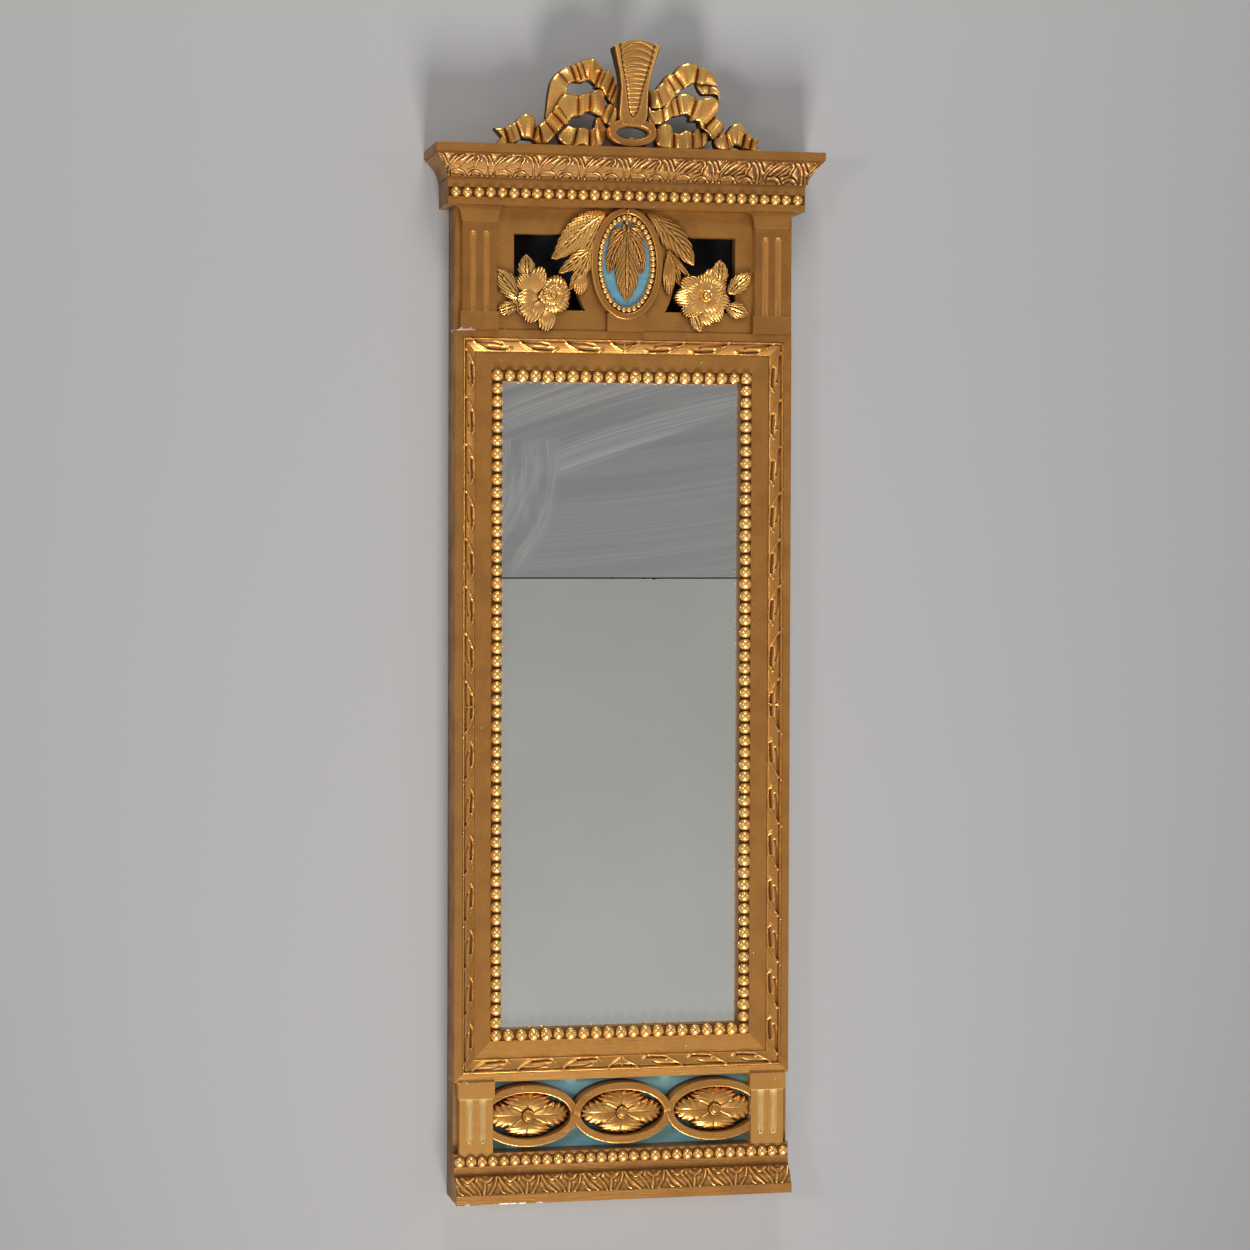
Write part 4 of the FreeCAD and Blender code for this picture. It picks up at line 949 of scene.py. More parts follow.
def ribbon_side(name, place, length, finish=ribbon_gold):
    """One side of the ribbon with mitred ends: place(along, inward) gives x and z."""
    half_length = length / 2

    def front(u, v):
        inward = ribbon_out + (ribbon_in - ribbon_out) * v
        along = (2 * u - 1) * (half_length - inward)
        depth = ribbon_height(along, inward, half_length)
        fall = lip_fall * (1 - rounded(v, ribbon_lip / (ribbon_in - ribbon_out)))
        x, z = place(along, inward)
        return x, depth - fall, z

    def seat(x, z):
        inward = np.minimum(half_body - np.abs(x), np.minimum(z - base_top, frame_top - z))
        across = np.clip((inward - ribbon_out) / (ribbon_in - ribbon_out), 0, 1)
        return seat_out - seat_fall * across

    piece = carved("ribbon_twist_" + name, int(length / grid_step), 22, front, seat)
    return finished(piece, finish, "ribbon_" + name)


middle_height = (base_top + frame_top) / 2
frame_length = frame_top - base_top
# The bottom side takes the lighter ribbon gold: painted light from below.
ribbon_side("bottom", lambda a, i: (a, base_top + i), 2 * half_body, lit_low_ribbon_gold)
ribbon_side("top", lambda a, i: (a, frame_top - i), 2 * half_body)
ribbon_side("left", lambda a, i: (-half_body + i, middle_height + a), frame_length)
ribbon_side("right", lambda a, i: (half_body - i, middle_height + a), frame_length)

# %% [markdown]
# ## Leaf mouldings
# The cornice and the base each have a row of eight leaves that are alike. A carver draws one
# leaf, pricks it through along the moulding and cuts the lines, which leaves rounded ribs. Here
# the ribs are lines in shares of one leaf, and each raises the surface beside it.

# %% Leaf mouldings
leaves_in_row = 8
carving_lift = 1.0
cornice_leaf_lines = [
    [(0.29, 0.97), (0.16, 0.78), (0.06, 0.55), (0.01, 0.3), (0.0, 0.0)],
    [(0.68, 1.0), (0.80, 0.78), (0.86, 0.5), (0.87, 0.25), (0.86, 0.0)],
    [(0.59, 0.95), (0.64, 0.78), (0.58, 0.62), (0.59, 0.42), (0.42, 0.31)],
    [(0.51, 0.86), (0.38, 0.62), (0.27, 0.46), (0.21, 0.34)],
    [(0.11, 0.3), (0.24, 0.33), (0.34, 0.24), (0.38, 0.0)],
    [(0.47, 0.16), (0.58, 0.31), (0.70, 0.24), (0.755, 0.0)],
    [(-0.19, 1.0), (-0.06, 0.62), (-0.03, 0.48), (0.04, 0.66), (0.16, 1.0)],
    [(0.81, 1.0), (0.94, 0.62), (0.97, 0.48), (1.04, 0.66), (1.16, 1.0)]]
base_leaf_lines = [
    [(0.02, 1.0), (0.08, 0.7), (0.18, 0.42), (0.30, 0.16), (0.36, 0.0)],
    [(0.98, 1.0), (0.94, 0.7), (0.88, 0.42), (0.80, 0.1), (0.78, 0.0)],
    [(0.17, 0.92), (0.24, 0.76), (0.34, 0.76), (0.43, 0.92)],
    [(0.38, 0.72), (0.46, 0.5), (0.52, 0.3), (0.56, 0.0)],
    [(0.68, 0.62), (0.67, 0.35), (0.64, 0.0)],
    [(0.60, 0.86), (0.68, 0.72), (0.78, 0.74), (0.86, 0.92)],
    [(0.03, 0.42), (0.06, 0.2), (0.15, 0.06)]]


def leaf_moulding(name, half_length, profile, height, lines, rise):
    """A carved moulding: profile is (depth, height) from its foot to its head."""
    depths = [depth for depth, level in profile]
    levels = [level for depth, level in profile]
    pitch = 2 * half_length(0) / leaves_in_row

    def front(u, v):
        level = levels[0] + (levels[-1] - levels[0]) * v
        out = np.interp(level, levels, depths)
        reach = half_length(v)
        x = (2 * u - 1) * reach
        unit = (x + half_length(0)) / pitch
        share = unit - np.floor(unit)
        px, py = share * pitch, v * height
        nearest = np.full(len(u), 99.0)
        for line in lines:
            scaled = [(a * pitch, b * height) for a, b in softened(line)]
            away = distance_to_line(px, py, scaled)
            nearest = np.minimum(nearest, away)
        rib = np.exp(-(nearest / 1.05) ** 2)
        trough = 0.42 * np.exp(-((nearest - 2.4) / 1.1) ** 2)
        return x, out + carving_lift + rise * (rib - trough) * rounded(v, 0.06), level

    def seat(x, z):
        return np.interp(z, levels, depths) - 0.4

    return carved(name, int(2 * half_length(0) / grid_step), 30, front, seat)


cornice_cyma = [(37.5, 24.5), (38.0, 27.5), (38.9, 30.4), (40.3, 33.6), (42.3, 36.8), (44.8, 39.4),
                (46.6, 41.4), (47.8, 44.0)]
cornice_cyma = [(depth, frieze_top + level) for depth, level in cornice_cyma]
cornice_carving = leaf_moulding(
    "cornice_leaves", lambda v: half_body + 10.2 + 10.2 * v ** 1.3, cornice_cyma, 19.5,
    cornice_leaf_lines, 1.6)
finished(cornice_carving, cornice_gold)
base_cyma = [(36.6, underside + 9), (35.4, underside + 17), (29.6, underside + 25)]
base_carving = leaf_moulding("base_leaves", lambda v: half_body - 0.2 + 0 * v, base_cyma, 16.0,
                             base_leaf_lines, 1.3)
finished(base_carving, moulding_gold)

# %% [markdown]
# ## Three interlaced ovals
# The rings are cut from one board, but the carver lets them pass over and under each other.
# Each ring is a band wrapped round an oval. Near a crossing it is a touch higher where it
# passes over and a touch lower where it passes under, which is all that the eye needs here.

# %% Interlaced ovals
oval_spacing = 92.3
oval_width, oval_height, oval_band = 49.0, 29.6, 7.9
ring_front = 28.0
recess = 12.0
block_edge = 127.5


def cut_at_blocks(piece):
    """The outer ovals end where the fluted blocks begin. The piece is the active one."""
    for side in (-1, 1):
        in_mode("EDIT")
        bpy.ops.mesh.select_all(action="SELECT")
        bpy.ops.mesh.bisect(plane_co=(side * block_edge * MM, 0, 0), plane_no=(side, 0, 0),
                            use_fill=True, clear_outer=True)
        in_mode("OBJECT")
    return piece


def oval_ring(name, centre, level, half_width, half_height, band, back, front, lip, offset=None):
    """A flat ring with eased edges, round an oval."""
    corners = [0.0, 0.1, 0.14, 0.86, 0.9, 1.0]

    def surface(u, v):
        turn = 2 * math.pi * u
        inset = np.interp(v, corners, [1, 1, 1 - lip / band, lip / band, 0, 0])
        depth = np.interp(v, corners, [back, front - lip, front, front, front - lip, back])
        if offset is not None:
            depth = np.where((v > 0.05) & (v < 0.95), depth + offset(turn), depth)
        x = centre + (half_width - band * inset) * np.cos(turn)
        z = level + (half_height - band * inset) * np.sin(turn)
        return x, depth, z

    def closed(u, v):
        share = np.clip(v / 0.96, 0, 1)
        x, depth, z = surface(u, share)
        start_x, start_depth, start_z = surface(u, np.zeros(len(u)))
        last = v > 0.999
        return (np.where(last, start_x, x), np.where(last, start_depth, depth),
                np.where(last, start_z, z))

    return wrapped(name, 96, 25, closed, 30)


def crossing_lift(step):
    """The ring's height near its ends, where it meets its neighbours."""

    def lift(turn):
        near_right = eased((np.cos(turn) - 0.80) / 0.12)
        near_left = eased((-np.cos(turn) - 0.80) / 0.12)
        upper = np.where(np.sin(turn) > 0, 1.0, -1.0)
        right_sign = -upper if step == -1 else upper
        left_sign = upper if step == 0 else -upper
        return 0.35 * (near_right * right_sign + near_left * left_sign) - 0.35

    return lift


rings = [oval_ring("ring", step * oval_spacing, oval_level, oval_width, oval_height, oval_band,
                   recess, ring_front, 0.7, crossing_lift(step)) for step in (-1, 0, 1)]
finished(cut_at_blocks(joined("interlaced_ovals", rings)), flat_gold, "guilloche")

# %% [markdown]
# ## Rosettes
# Four leaves lie round a boss and fill the oval. Each has a midrib, and creases slant from it
# to the notches of its scalloped edge. The grid is bent into a disc, so its points lie on
# spokes, and these run along the leaves.

# %% Rosettes
creases_per_leaf = 6


def rosette(centre):
    """The leaves and the boss of one oval."""
    inner_width, inner_height = oval_width - oval_band, oval_height - oval_band

    def front(u, v):
        turn = 2 * math.pi * u
        quarter = turn - np.round(turn / (math.pi / 2)) * math.pi / 2
        gap = (np.abs(quarter) / (math.pi / 4)) ** 3
        along_leaf, beside_rib = v * np.cos(quarter), v * np.abs(np.sin(quarter))
        lobe = np.abs(np.sin(np.pi * creases_per_leaf * (along_leaf - 0.5 * beside_rib))) ** 0.6
        reach = 0.985 - 0.19 * gap - 0.11 * (1 - lobe) * eased((v - 0.6) * 2.5)
        x = centre + inner_width * reach * v * np.cos(turn)
        z = oval_level + inner_height * reach * v * np.sin(turn)
        swell = 2.4 * np.sin(np.pi * np.clip(v, 0, 1) ** 1.2) - 1.4 * v ** 4
        rib = 0.9 * (lobe - 0.6) * eased(beside_rib * 4) * eased((v - 0.3) * 2.4)
        midrib = -0.6 * np.exp(-(quarter * (0.3 + v) / 0.03) ** 2) * eased(v * 3)
        crease = -1.0 * np.exp(-((np.abs(quarter) - math.pi / 4) * (0.3 + v) / 0.06) ** 2)
        return x, 23.4 + swell + rib + midrib + crease, z

    leafwork = carved("leafwork", 181, 15, front, level_seat(recess))

    def boss_front(u, v):
        turn = 2 * math.pi * u
        x = centre + 5.8 * v * np.cos(turn)
        z = oval_level + 5.8 * v * np.sin(turn)
        ring = 0.3 * np.exp(-((v - 0.86) / 0.08) ** 2) - 0.7 * np.exp(-((v - 0.70) / 0.07) ** 2)
        return x, 26.0 + 2.6 * np.sqrt(np.clip(1 - (v * 0.98) ** 2, 0, 1)) + ring, z

    boss = carved("boss", 33, 10, boss_front, level_seat(22.0))
    return [leafwork, boss]


parts = []
for step in (-1, 0, 1):
    parts += rosette(step * oval_spacing)
finished(cut_at_blocks(joined("carved_rosettes", parts)), moulding_gold, "rosettes")

# %% [markdown]
# ## Medallion
# A flat oval rim with a small raised lip holds a ring of pearls round a blue ground. A leaf
# hangs in front of it and is made further down. The pearls are spaced by length along the
# oval, because equal angles would space them unevenly.

# %% Medallion rim and pearls
rim_width, rim_height, rim_band = 35.0, 53.0, 6.4
inside_width, inside_height = rim_width - rim_band, rim_height - rim_band
bed_band, bed_back, bed_face = 5.6, 29.0, 30.0
small_pearl_count = 42
rim = oval_ring("medallion_oval", 0, medallion_level, rim_width, rim_height, rim_band,
                frieze_face, frieze_face + 6, 0.8)
finished(rim, flat_gold, "medallion_rim")
line_width, line_height = inside_width - 2.7, inside_height - 2.7
fine = [2 * math.pi * step / 3600 for step in range(3601)]
lengths = [0.0]
for turn in fine[:-1]:
    run = math.hypot(line_width * math.sin(turn), line_height * math.cos(turn))
    lengths.append(lengths[-1] + run)
spots = []
for number in range(small_pearl_count):
    wanted = lengths[-1] * number / small_pearl_count
    turn = float(np.interp(wanted, lengths, fine))
    height = medallion_level + line_height * math.sin(turn)
    spots.append((line_width * math.cos(turn), bed_face, height))
small_pearls = strung(new_pearl(2.8, 0.4), spots)
pearl_bed = oval_ring("bed", 0, medallion_level, inside_width, inside_height, bed_band, bed_back,
                      bed_face, 0.3)
finished(joined("medallion_pearls", small_pearls + [pearl_bed]), pearl_gold, "medallion_beads")

# %% [markdown]
# ## Leaves
# Every leaf is the same idea: a line from foot to tip, a width that swells and narrows, a
# midrib, and side veins that slant towards the tip. One helper carves them all, so they look
# like the work of one hand.

# %% Leaf helper


def bent_line(foot, tip, bend, u):
    """A line from foot to tip that bows sideways, with its direction."""
    run_x, run_z = tip[0] - foot[0], tip[1] - foot[1]
    x = foot[0] + run_x * u - run_z * bend * 4 * u * (1 - u)
    z = foot[1] + run_z * u + run_x * bend * 4 * u * (1 - u)
    dx = run_x - run_z * bend * 4 * (1 - 2 * u)
    dz = run_z + run_x * bend * 4 * (1 - 2 * u)
    length = np.hypot(dx, dz)
    return x, z, -dz / length, dx / length


def carved_leaf(foot, tip, breadth, seat, relief, veins=6, slant=2.3, bend=0.0, lobes=0.12,
                blunt=0.75, vein_cut=1.2):
    """A leaf in relief with veins that slant to its tip. Blunt moves its widest place."""
    length = math.hypot(tip[0] - foot[0], tip[1] - foot[1])

    def front(u, v):
        s = 2 * v - 1
        x, z, nx, nz = bent_line(foot, tip, bend, u)
        shape = np.sin(np.pi * np.clip(u, 0, 1) ** blunt) ** 0.75
        phase = veins * u - slant * np.abs(s) * breadth / length * veins / 2
        wave = np.abs(np.sin(np.pi * phase))
        edge = 1 - lobes * (1 - wave) * eased((np.abs(s) - 0.5) * 2)
        half = breadth / 2 * shape * edge
        arch = 0.55 + 0.45 * np.cos(np.pi * s * 0.5)
        body = relief * arch * (0.45 + 0.55 * shape)
        cut = vein_cut * (wave ** 0.7 - 0.65) * eased(np.abs(s) * 4) * np.minimum(shape * 1.5, 1)
        from_rib = np.abs(s) * breadth / 2
        midrib = np.exp(-(from_rib / 0.7) ** 2) * 0.9 - np.exp(-((from_rib - 1.6) / 0.7) ** 2)
        depth = seat + body + cut + midrib * np.minimum(shape * 1.6, 1)
        return x + nx * half * s, np.maximum(depth, seat + 0.4), z + nz * half * s

    return carved("leaf", 64, 23, front, level_seat(seat))


def fan(foot, tip, breadth, seat, rise, ribs=7, curl=0.45, narrow=0.10, scallop=0.06, cut=1.3):
    """A petal or shell: ribs spread from its foot to a scalloped edge, which curl lowers."""
    reach = math.hypot(tip[0] - foot[0], tip[1] - foot[1])
    out_x, out_z = (tip[0] - foot[0]) / reach, (tip[1] - foot[1]) / reach

    def front(u, v):
        s = 2 * v - 1
        spread = breadth / 2 * np.sin(np.pi * (narrow + (0.72 - narrow) * u)) ** 0.8
        rib = np.abs(np.cos(np.pi * ribs * s / 2)) ** 0.7
        ribbed = min(ribs - 1, 1)
        along = reach * u * (1 - 0.22 * s * s * u - scallop * ribbed * (1 - rib) * u)
        cup = rise * (np.sin(np.pi * (0.16 + (0.84 - 0.34 * curl) * u)) * 0.8 + 0.2)
        hollow = -0.30 * rise * (s * s - 0.3) * np.sqrt(u)
        depth = seat + cup + hollow + cut * ribbed * (rib - 0.6) * eased((u - 0.3) * 1.6)
        x = foot[0] + along * out_x - spread * s * out_z
        z = foot[1] + along * out_z + spread * s * out_x
        return x, np.maximum(depth, seat + 0.4), z

    return carved("fan", 18, max(6 * ribs + 1, 15), front, level_seat(seat))


def knob(x, z, seat, width, height, relief, rim=0.0):
    """A small smooth swelling, such as a bud or a knot. With a rim it looks like a button."""

    def front(u, v):
        turn = 2 * math.pi * u
        swell = relief * np.sqrt(np.clip(1 - (0.98 * v) ** 2, 0, 1))
        ridge = np.exp(-((v - 0.80) / 0.10) ** 2) - np.exp(-((v - 0.56) / 0.12) ** 2)
        return (x + width / 2 * v * np.cos(turn), seat + swell + rim * ridge,
                z + height / 2 * v * np.sin(turn))

    return carved("knob", 25, 9, front, level_seat(seat))


# %% [markdown]
# ## Leaves of the medallion
# A leaf of six lobes hangs from a knot inside the medallion, and a spray of long leaves lies on
# each side of it. Every lobe is one carved leaf. They overlap, as the carver made one block
# look like leaves that lie on each other.

# %% Hanging leaf in the medallion
ground = 29.0
level = medallion_level
hanging = [
    carved_leaf((3, level + 34), (17.5, level + 32), 9, ground, 2.4, veins=3),
    carved_leaf((-1, level + 32), (-15, level + 13), 12, ground, 2.6, veins=4, bend=-0.15),
    carved_leaf((2, level + 32), (15.5, level + 17), 12, ground, 2.6, veins=4, bend=0.15),
    carved_leaf((-1, level + 29), (-17, level - 9.5), 15, ground, 2.8, veins=6, bend=-0.08),
    carved_leaf((2, level + 29), (15.5, level - 9.5), 15, ground, 2.8, veins=6, bend=0.08),
    carved_leaf((0.5, level + 34), (0.5, level - 35), 24, ground, 3.4, veins=9, blunt=1.3),
    knob(-2.6, level + 34, ground, 4.2, 8.0, 3.4),
    knob(1.8, level + 33, ground, 3.6, 7.0, 3.0),
    knob(0.0, level + 43, ground, 4.2, 14.0, 4.6),
    knob(0.2, level + 50, frieze_face + 3, 4.0, 6.0, 5.6)]
finished(joined("hanging_leaf", hanging), moulding_gold, "medallion_leaf")

# %% Long leaves beside the medallion
face = frieze_face


def beside(x, z):
    """A place given from the medallion's middle."""
    return (x, level + z)


left_spray = [
    carved_leaf(beside(-20, 48), beside(-70, 3), 28, face, 5.2, veins=9, bend=-0.04, blunt=0.85),
    carved_leaf(beside(-44, 29), beside(-73, 3.5), 13, face, 5.0, veins=5),
    carved_leaf(beside(-25, 40), beside(-46, 0), 14, face, 5.0, veins=6, blunt=0.9),
    carved_leaf(beside(-28, 34), beside(-39, -6), 12, face, 4.4, veins=6),
    carved_leaf(beside(-34, 13), beside(-66, -10), 14, face, 5.6, veins=5),
    carved_leaf(beside(-34, 18), beside(-56, -26), 15, face, 5.0, veins=6, bend=0.04),
    carved_leaf(beside(-35, 12), beside(-42, -14), 9, face, 4.6, veins=4),
    fan(beside(-42, -10), beside(-47, -30), 13, face, 4.8, 5)]
right_spray = [
    carved_leaf(beside(20, 49), beside(67, 0), 23, face, 5.2, veins=7, bend=0.05, blunt=1.1),
    carved_leaf(beside(25, 46), beside(46, 8), 13, face, 4.8, veins=5, bend=0.05),
    fan(beside(42, 12), beside(42, -29), 13, face, 5.0, 5, narrow=0.0),
    carved_leaf(beside(41, 14), beside(54, -20), 11, face, 4.0, veins=5),
    carved_leaf(beside(40, 14), beside(66, -15), 5.5, face, 6.4, veins=1, slant=0.0, lobes=0.0,
                vein_cut=0.0)]
finished(joined("long_leaves_left", left_spray), carved_gold, "leaf_spray_left",
         sides=shaded_side_gold)
finished(joined("long_leaves_right", right_spray), moulding_gold, "leaf_spray_right",
         sides=shaded_side_gold)

# %% [markdown]
# ## Flowers
# The left one is a bouquet: a rose with finely cut petals, shells, buds and two leaves. The
# right one is an open bloom that faces the room. Both are made of fans and leaves that
# overlap at different depths, because a carved flower is read by its shadows.

# %% Left bouquet
flower_level = frieze_top - 82.0


def bouquet(x, z):
    """A place given from the height of the flowers' middle."""
    return (x, flower_level + z)


heart = bouquet(-72, -1)
left_parts = [
    knob(-92, flower_level - 3, face, 40, 42, 5.0),
    carved_leaf(bouquet(-97, 11), bouquet(-98, 37), 17, face + 2, 5.0, veins=5, blunt=0.9),
    carved_leaf(bouquet(-102, -7), bouquet(-127, 23), 20, face, 5.5, veins=6, blunt=0.9),
    carved_leaf(bouquet(-105, -11), bouquet(-127, -17), 13, face, 4.5, veins=4, blunt=0.9),
    fan(bouquet(-92, 2), bouquet(-105, 17), 17, face + 2.5, 5.5, 6),
    fan(bouquet(-92, 1), bouquet(-83, 25), 17, face + 3, 6.0, 5),
    fan(bouquet(-88, -2), bouquet(-107, -6), 17, face + 3.5, 4.5, 5),
    fan(bouquet(-87, -6), bouquet(-104, -18), 19, face + 2.5, 5.5, 5),
    fan(bouquet(-88, -8), bouquet(-97, -27), 18, face + 2, 6.0, 5),
    fan(bouquet(-84, -8), bouquet(-90, -22), 12, face + 5, 4.0, 3),
    fan(bouquet(-77, -14), bouquet(-79.5, -35), 17, face, 7.5, 5, narrow=0.2)]
rose_petals = ((75, 20, 19, 3), (20, 18, 18, 3), (-35, 19, 18, 3), (-88, 19, 18, 3),
               (-140, 17, 17, 3), (135, 18, 18, 3), (45, 12, 13, 2), (-25, 12, 13, 2),
               (-100, 12, 13, 2), (-170, 12, 13, 2), (110, 12, 13, 2))


def from_heart(turn, reach):
    """A place at an angle and a distance from the middle of the rose."""
    angle = math.radians(turn)
    return (heart[0] + reach * math.cos(angle), heart[1] + reach * math.sin(angle))


for turn, reach, breadth, start in rose_petals:
    foot, tip = from_heart(turn - 50, start), from_heart(turn, reach)
    inner = 3.4 if reach < 14 else 0
    left_parts.append(fan(foot, tip, breadth, face + inner, 7.4 - inner / 3, 5, curl=0.1))
left_parts.append(knob(heart[0], heart[1], face + 5, 7, 9, 4.5))
finished(joined("flower_bouquet", left_parts), petal_gold, "flower_left", sides=shaded_side_gold)

# %% Right bloom
centre = bouquet(77, 0.5)
right_parts = [
    carved_leaf(bouquet(91, 10), bouquet(93, 36), 17, face, 6.5, veins=5, blunt=0.9),
    carved_leaf(bouquet(101, 4), bouquet(124, 24), 17, face, 5.5, veins=5, blunt=0.9),
    carved_leaf(bouquet(98, -8), bouquet(121, -16), 16, face, 5.0, veins=4, blunt=1.0),
    fan(bouquet(79, 8), bouquet(84, 27), 14, face, 6.5, 3),
    carved_leaf(bouquet(66, -10), bouquet(74, -33), 15, face, 5.0, veins=5, blunt=1.0),
    fan(bouquet(74, -10), bouquet(83, -27), 13, face, 5.5, 3)]
for tip, breadth in (((54, 16), 22), ((47, -1), 21), ((56, -17), 21), ((92, -23), 22),
                     ((102, -6), 22), ((97, 16), 22), ((76, 22), 23)):
    right_parts.append(fan(centre, bouquet(*tip), breadth, face, 7.0, 7, scallop=0.07, cut=1.1))
for tip in ((59, 8), (65, -15), (88, -15), (96, 5), (79, 19)):
    right_parts.append(fan(centre, bouquet(*tip), 17, face + 2.6, 6.0, 5, scallop=0.06, cut=0.9))
right_parts.append(knob(centre[0], centre[1], face + 7.5, 13, 13, 4.0, rim=0.9))
finished(joined("open_flower", right_parts), carved_gold, "flower_right", sides=shaded_side_gold)

# %% [markdown]
# ## The ribbon crest
# A folded silk ribbon, carved in wood. A stretch of it is a row of cross-sections, one at each
# crease: the place of both its edges and how far the crease stands from the wall. Creases are
# straight and the faces between them nearly flat, as a gouge leaves them. A stretch that
# passes in front of another stands nearer to the room. Sections were chosen over a bent curve
# because each crease can be placed by itself.

# %% Tool for folded ribbons
ribbon_back = 30.0
crest_drop = 2.2
crest_stretch = 1.05
fold_middle = 40.0
fold_share = 0.95
ribbon_swell, ribbon_edge_fall = 0.7, 1.1


def folded(sections, notch=0.0):
    """A ribbon through sections of (x, height, x, height, depth). With a notch it ends in a
    fishtail."""
    rows = np.array(sections, dtype=float)
    middles = (rows[:, 0:2] + rows[:, 2:4]) / 2
    hops = np.maximum(np.hypot(*np.diff(middles, axis=0).T), 0.5)
    places = np.concatenate([[0], np.cumsum(hops)])
    slopes = np.gradient(rows, places, axis=0)
    ending = middles[-1] - middles[-2]
    ending = ending / np.hypot(*ending)
    last = len(rows) - 2

    def front(u, v):
        part = np.clip(u * (last + 1), 0, last + 1)
        step = np.minimum(part.astype(int), last)
        t = (part - step)[:, None]
        hop = hops[step][:, None]
        leaving = (1 + 2 * t) * (1 - t) ** 2 * rows[step] + t * (1 - t) ** 2 * hop * slopes[step]
        reaching = t * t * (3 - 2 * t) * rows[step + 1] - t * t * (1 - t) * hop * slopes[step + 1]
        smooth = leaving + reaching
        depth = rows[step, 4] + (part - step) * (rows[step + 1, 4] - rows[step, 4])
        depth = fold_middle + fold_share * (depth - fold_middle)
        s = 2 * v - 1
        x = smooth[:, 0] + (smooth[:, 2] - smooth[:, 0]) * v
        z = smooth[:, 1] + (smooth[:, 3] - smooth[:, 1]) * v
        back = notch * (1 - np.abs(s)) * eased(part - last)
        x = x - ending[0] * back
        z = np.maximum((z - ending[1] * back - crest_drop) * crest_stretch, 0.05)
        fall = ribbon_edge_fall * (1 - rounded(v, 0.07))
        return x, depth + ribbon_swell * (1 - s * s) - fall, cornice_top + z

    return carved("ribbon", 5 * (last + 1), 15, front, level_seat(ribbon_back))


# %% [markdown]
# ## The two bows
# Each bow is made of stretches such as an arch, a fold and a tail with a notched end. Their
# creases were read from the photograph one by one, and the bows differ as the real ones do.
# Depths were judged from light and shadow, so these are the least sure.

# %% Left bow
left_arch = [
    (-81, 29, -70, 31.5, 35.5), (-80, 38, -65, 39.5, 36.5), (-78.5, 51, -61.5, 48.5, 38),
    (-75.5, 62.5, -60.5, 55, 39.5), (-69.5, 69.5, -58.5, 59, 37.5), (-63.5, 73, -56, 61, 42),
    (-57.5, 75.5, -52, 61.5, 37), (-55, 76, -48.5, 61, 41), (-53, 77.5, -46.5, 61, 38.5),
    (-51, 78, -44.5, 61.5, 42), (-47, 80.5, -41, 63, 37), (-42, 82, -39.5, 63, 38.8),
    (-37, 82, -38, 62.5, 42), (-31, 80, -36, 61, 39.5), (-26, 75, -32, 58, 36)]
left_loop = [
    (-27, 73, -34, 57, 37), (-25.5, 72.5, -32.5, 56.5, 42.5), (-23.5, 72.5, -30.5, 56, 40),
    (-21.5, 72, -28, 55.5, 42.5), (-16.5, 69.5, -24, 51.5, 38.5), (-15, 68, -22.5, 49.5, 36.5),
    (-14, 63, -21, 47, 41.5), (-12.5, 60.5, -19.5, 44.5, 38), (-11, 57, -18, 43, 41),
    (-8, 50, -15, 41, 38), (-6.5, 42.5, -12.5, 34.5, 37)]
left_fold = [
    (-25, 56.5, -24, 30.5, 38), (-30, 55, -31, 32, 41), (-35, 53.5, -36.5, 34, 43.5),
    (-38.5, 52.5, -39, 35, 38.5), (-43, 51.5, -43, 34, 40.5), (-47.5, 49.5, -46.5, 31.5, 42.3),
    (-50, 49, -50, 30.5, 37.8), (-52.5, 50, -52.5, 30, 39.8), (-58, 50, -55.5, 29, 41.3),
    (-64, 49.5, -57.5, 28, 42), (-68, 46, -58.5, 26.5, 41.5), (-71.5, 40, -60, 25, 40.5),
    (-73.5, 37, -61, 23.5, 44), (-75.5, 34, -63, 22, 38), (-78, 31.5, -65.5, 20, 40),
    (-80.5, 28.5, -69.5, 17, 43.5), (-83, 26.5, -72, 13.5, 38.5), (-85.5, 24, -74.5, 11, 40.2),
    (-88, 22, -77, 8, 41), (-88.6, 21, -81, 5, 42), (-88.9, 20.9, -84.5, 4.5, 38.5),
    (-89.3, 20.8, -89.5, 4.5, 43), (-89.8, 20.6, -93.5, 8, 37.5)]
left_tail = [
    (-90, 27, -92.5, 8, 36), (-93, 29.5, -94.5, 8.5, 38), (-96.5, 31, -98.5, 9, 40),
    (-100.5, 31.8, -102, 9, 41.2), (-104, 30.5, -103.5, 9.5, 40.5),
    (-107.5, 27.5, -104.5, 9.5, 39.5), (-110.5, 25, -105, 9.2, 37.5), (-113, 23, -107, 7, 42.5),
    (-117, 21, -111, 5, 41), (-120, 19, -114.5, 3.5, 43), (-121.5, 18.5, -116.5, 3.5, 38),
    (-125, 18, -122, 3, 41), (-131, 18, -130, 3, 40)]
left_low = [
    (-61, 23, -70, 14.5, 36.5), (-59, 22.5, -69, 10.5, 39), (-56, 21, -65.5, 6, 40),
    (-53, 19.8, -60.5, 3.2, 42), (-50.8, 19.8, -55, 3, 38), (-49, 20, -50.5, 4, 42),
    (-44.5, 20.5, -45.5, 4.5, 41), (-40.5, 19.5, -41, 3, 39.5), (-38.8, 18.5, -39, 2.5, 37),
    (-37, 19, -37, 2.5, 41.5), (-34.5, 22, -32, 2.5, 39), (-33.5, 26.5, -28, 4, 41),
    (-32, 30.5, -23.5, 9, 38.5), (-29, 32, -20, 15, 37)]
left_knot = [(-21, 42.5, -28, 30, 38.5), (-19, 42, -26, 26.5, 42), (-15, 41, -22, 23.5, 39.5),
             (-11, 35.5, -17.5, 22, 41.5), (-8, 30.5, -14, 23.5, 39)]
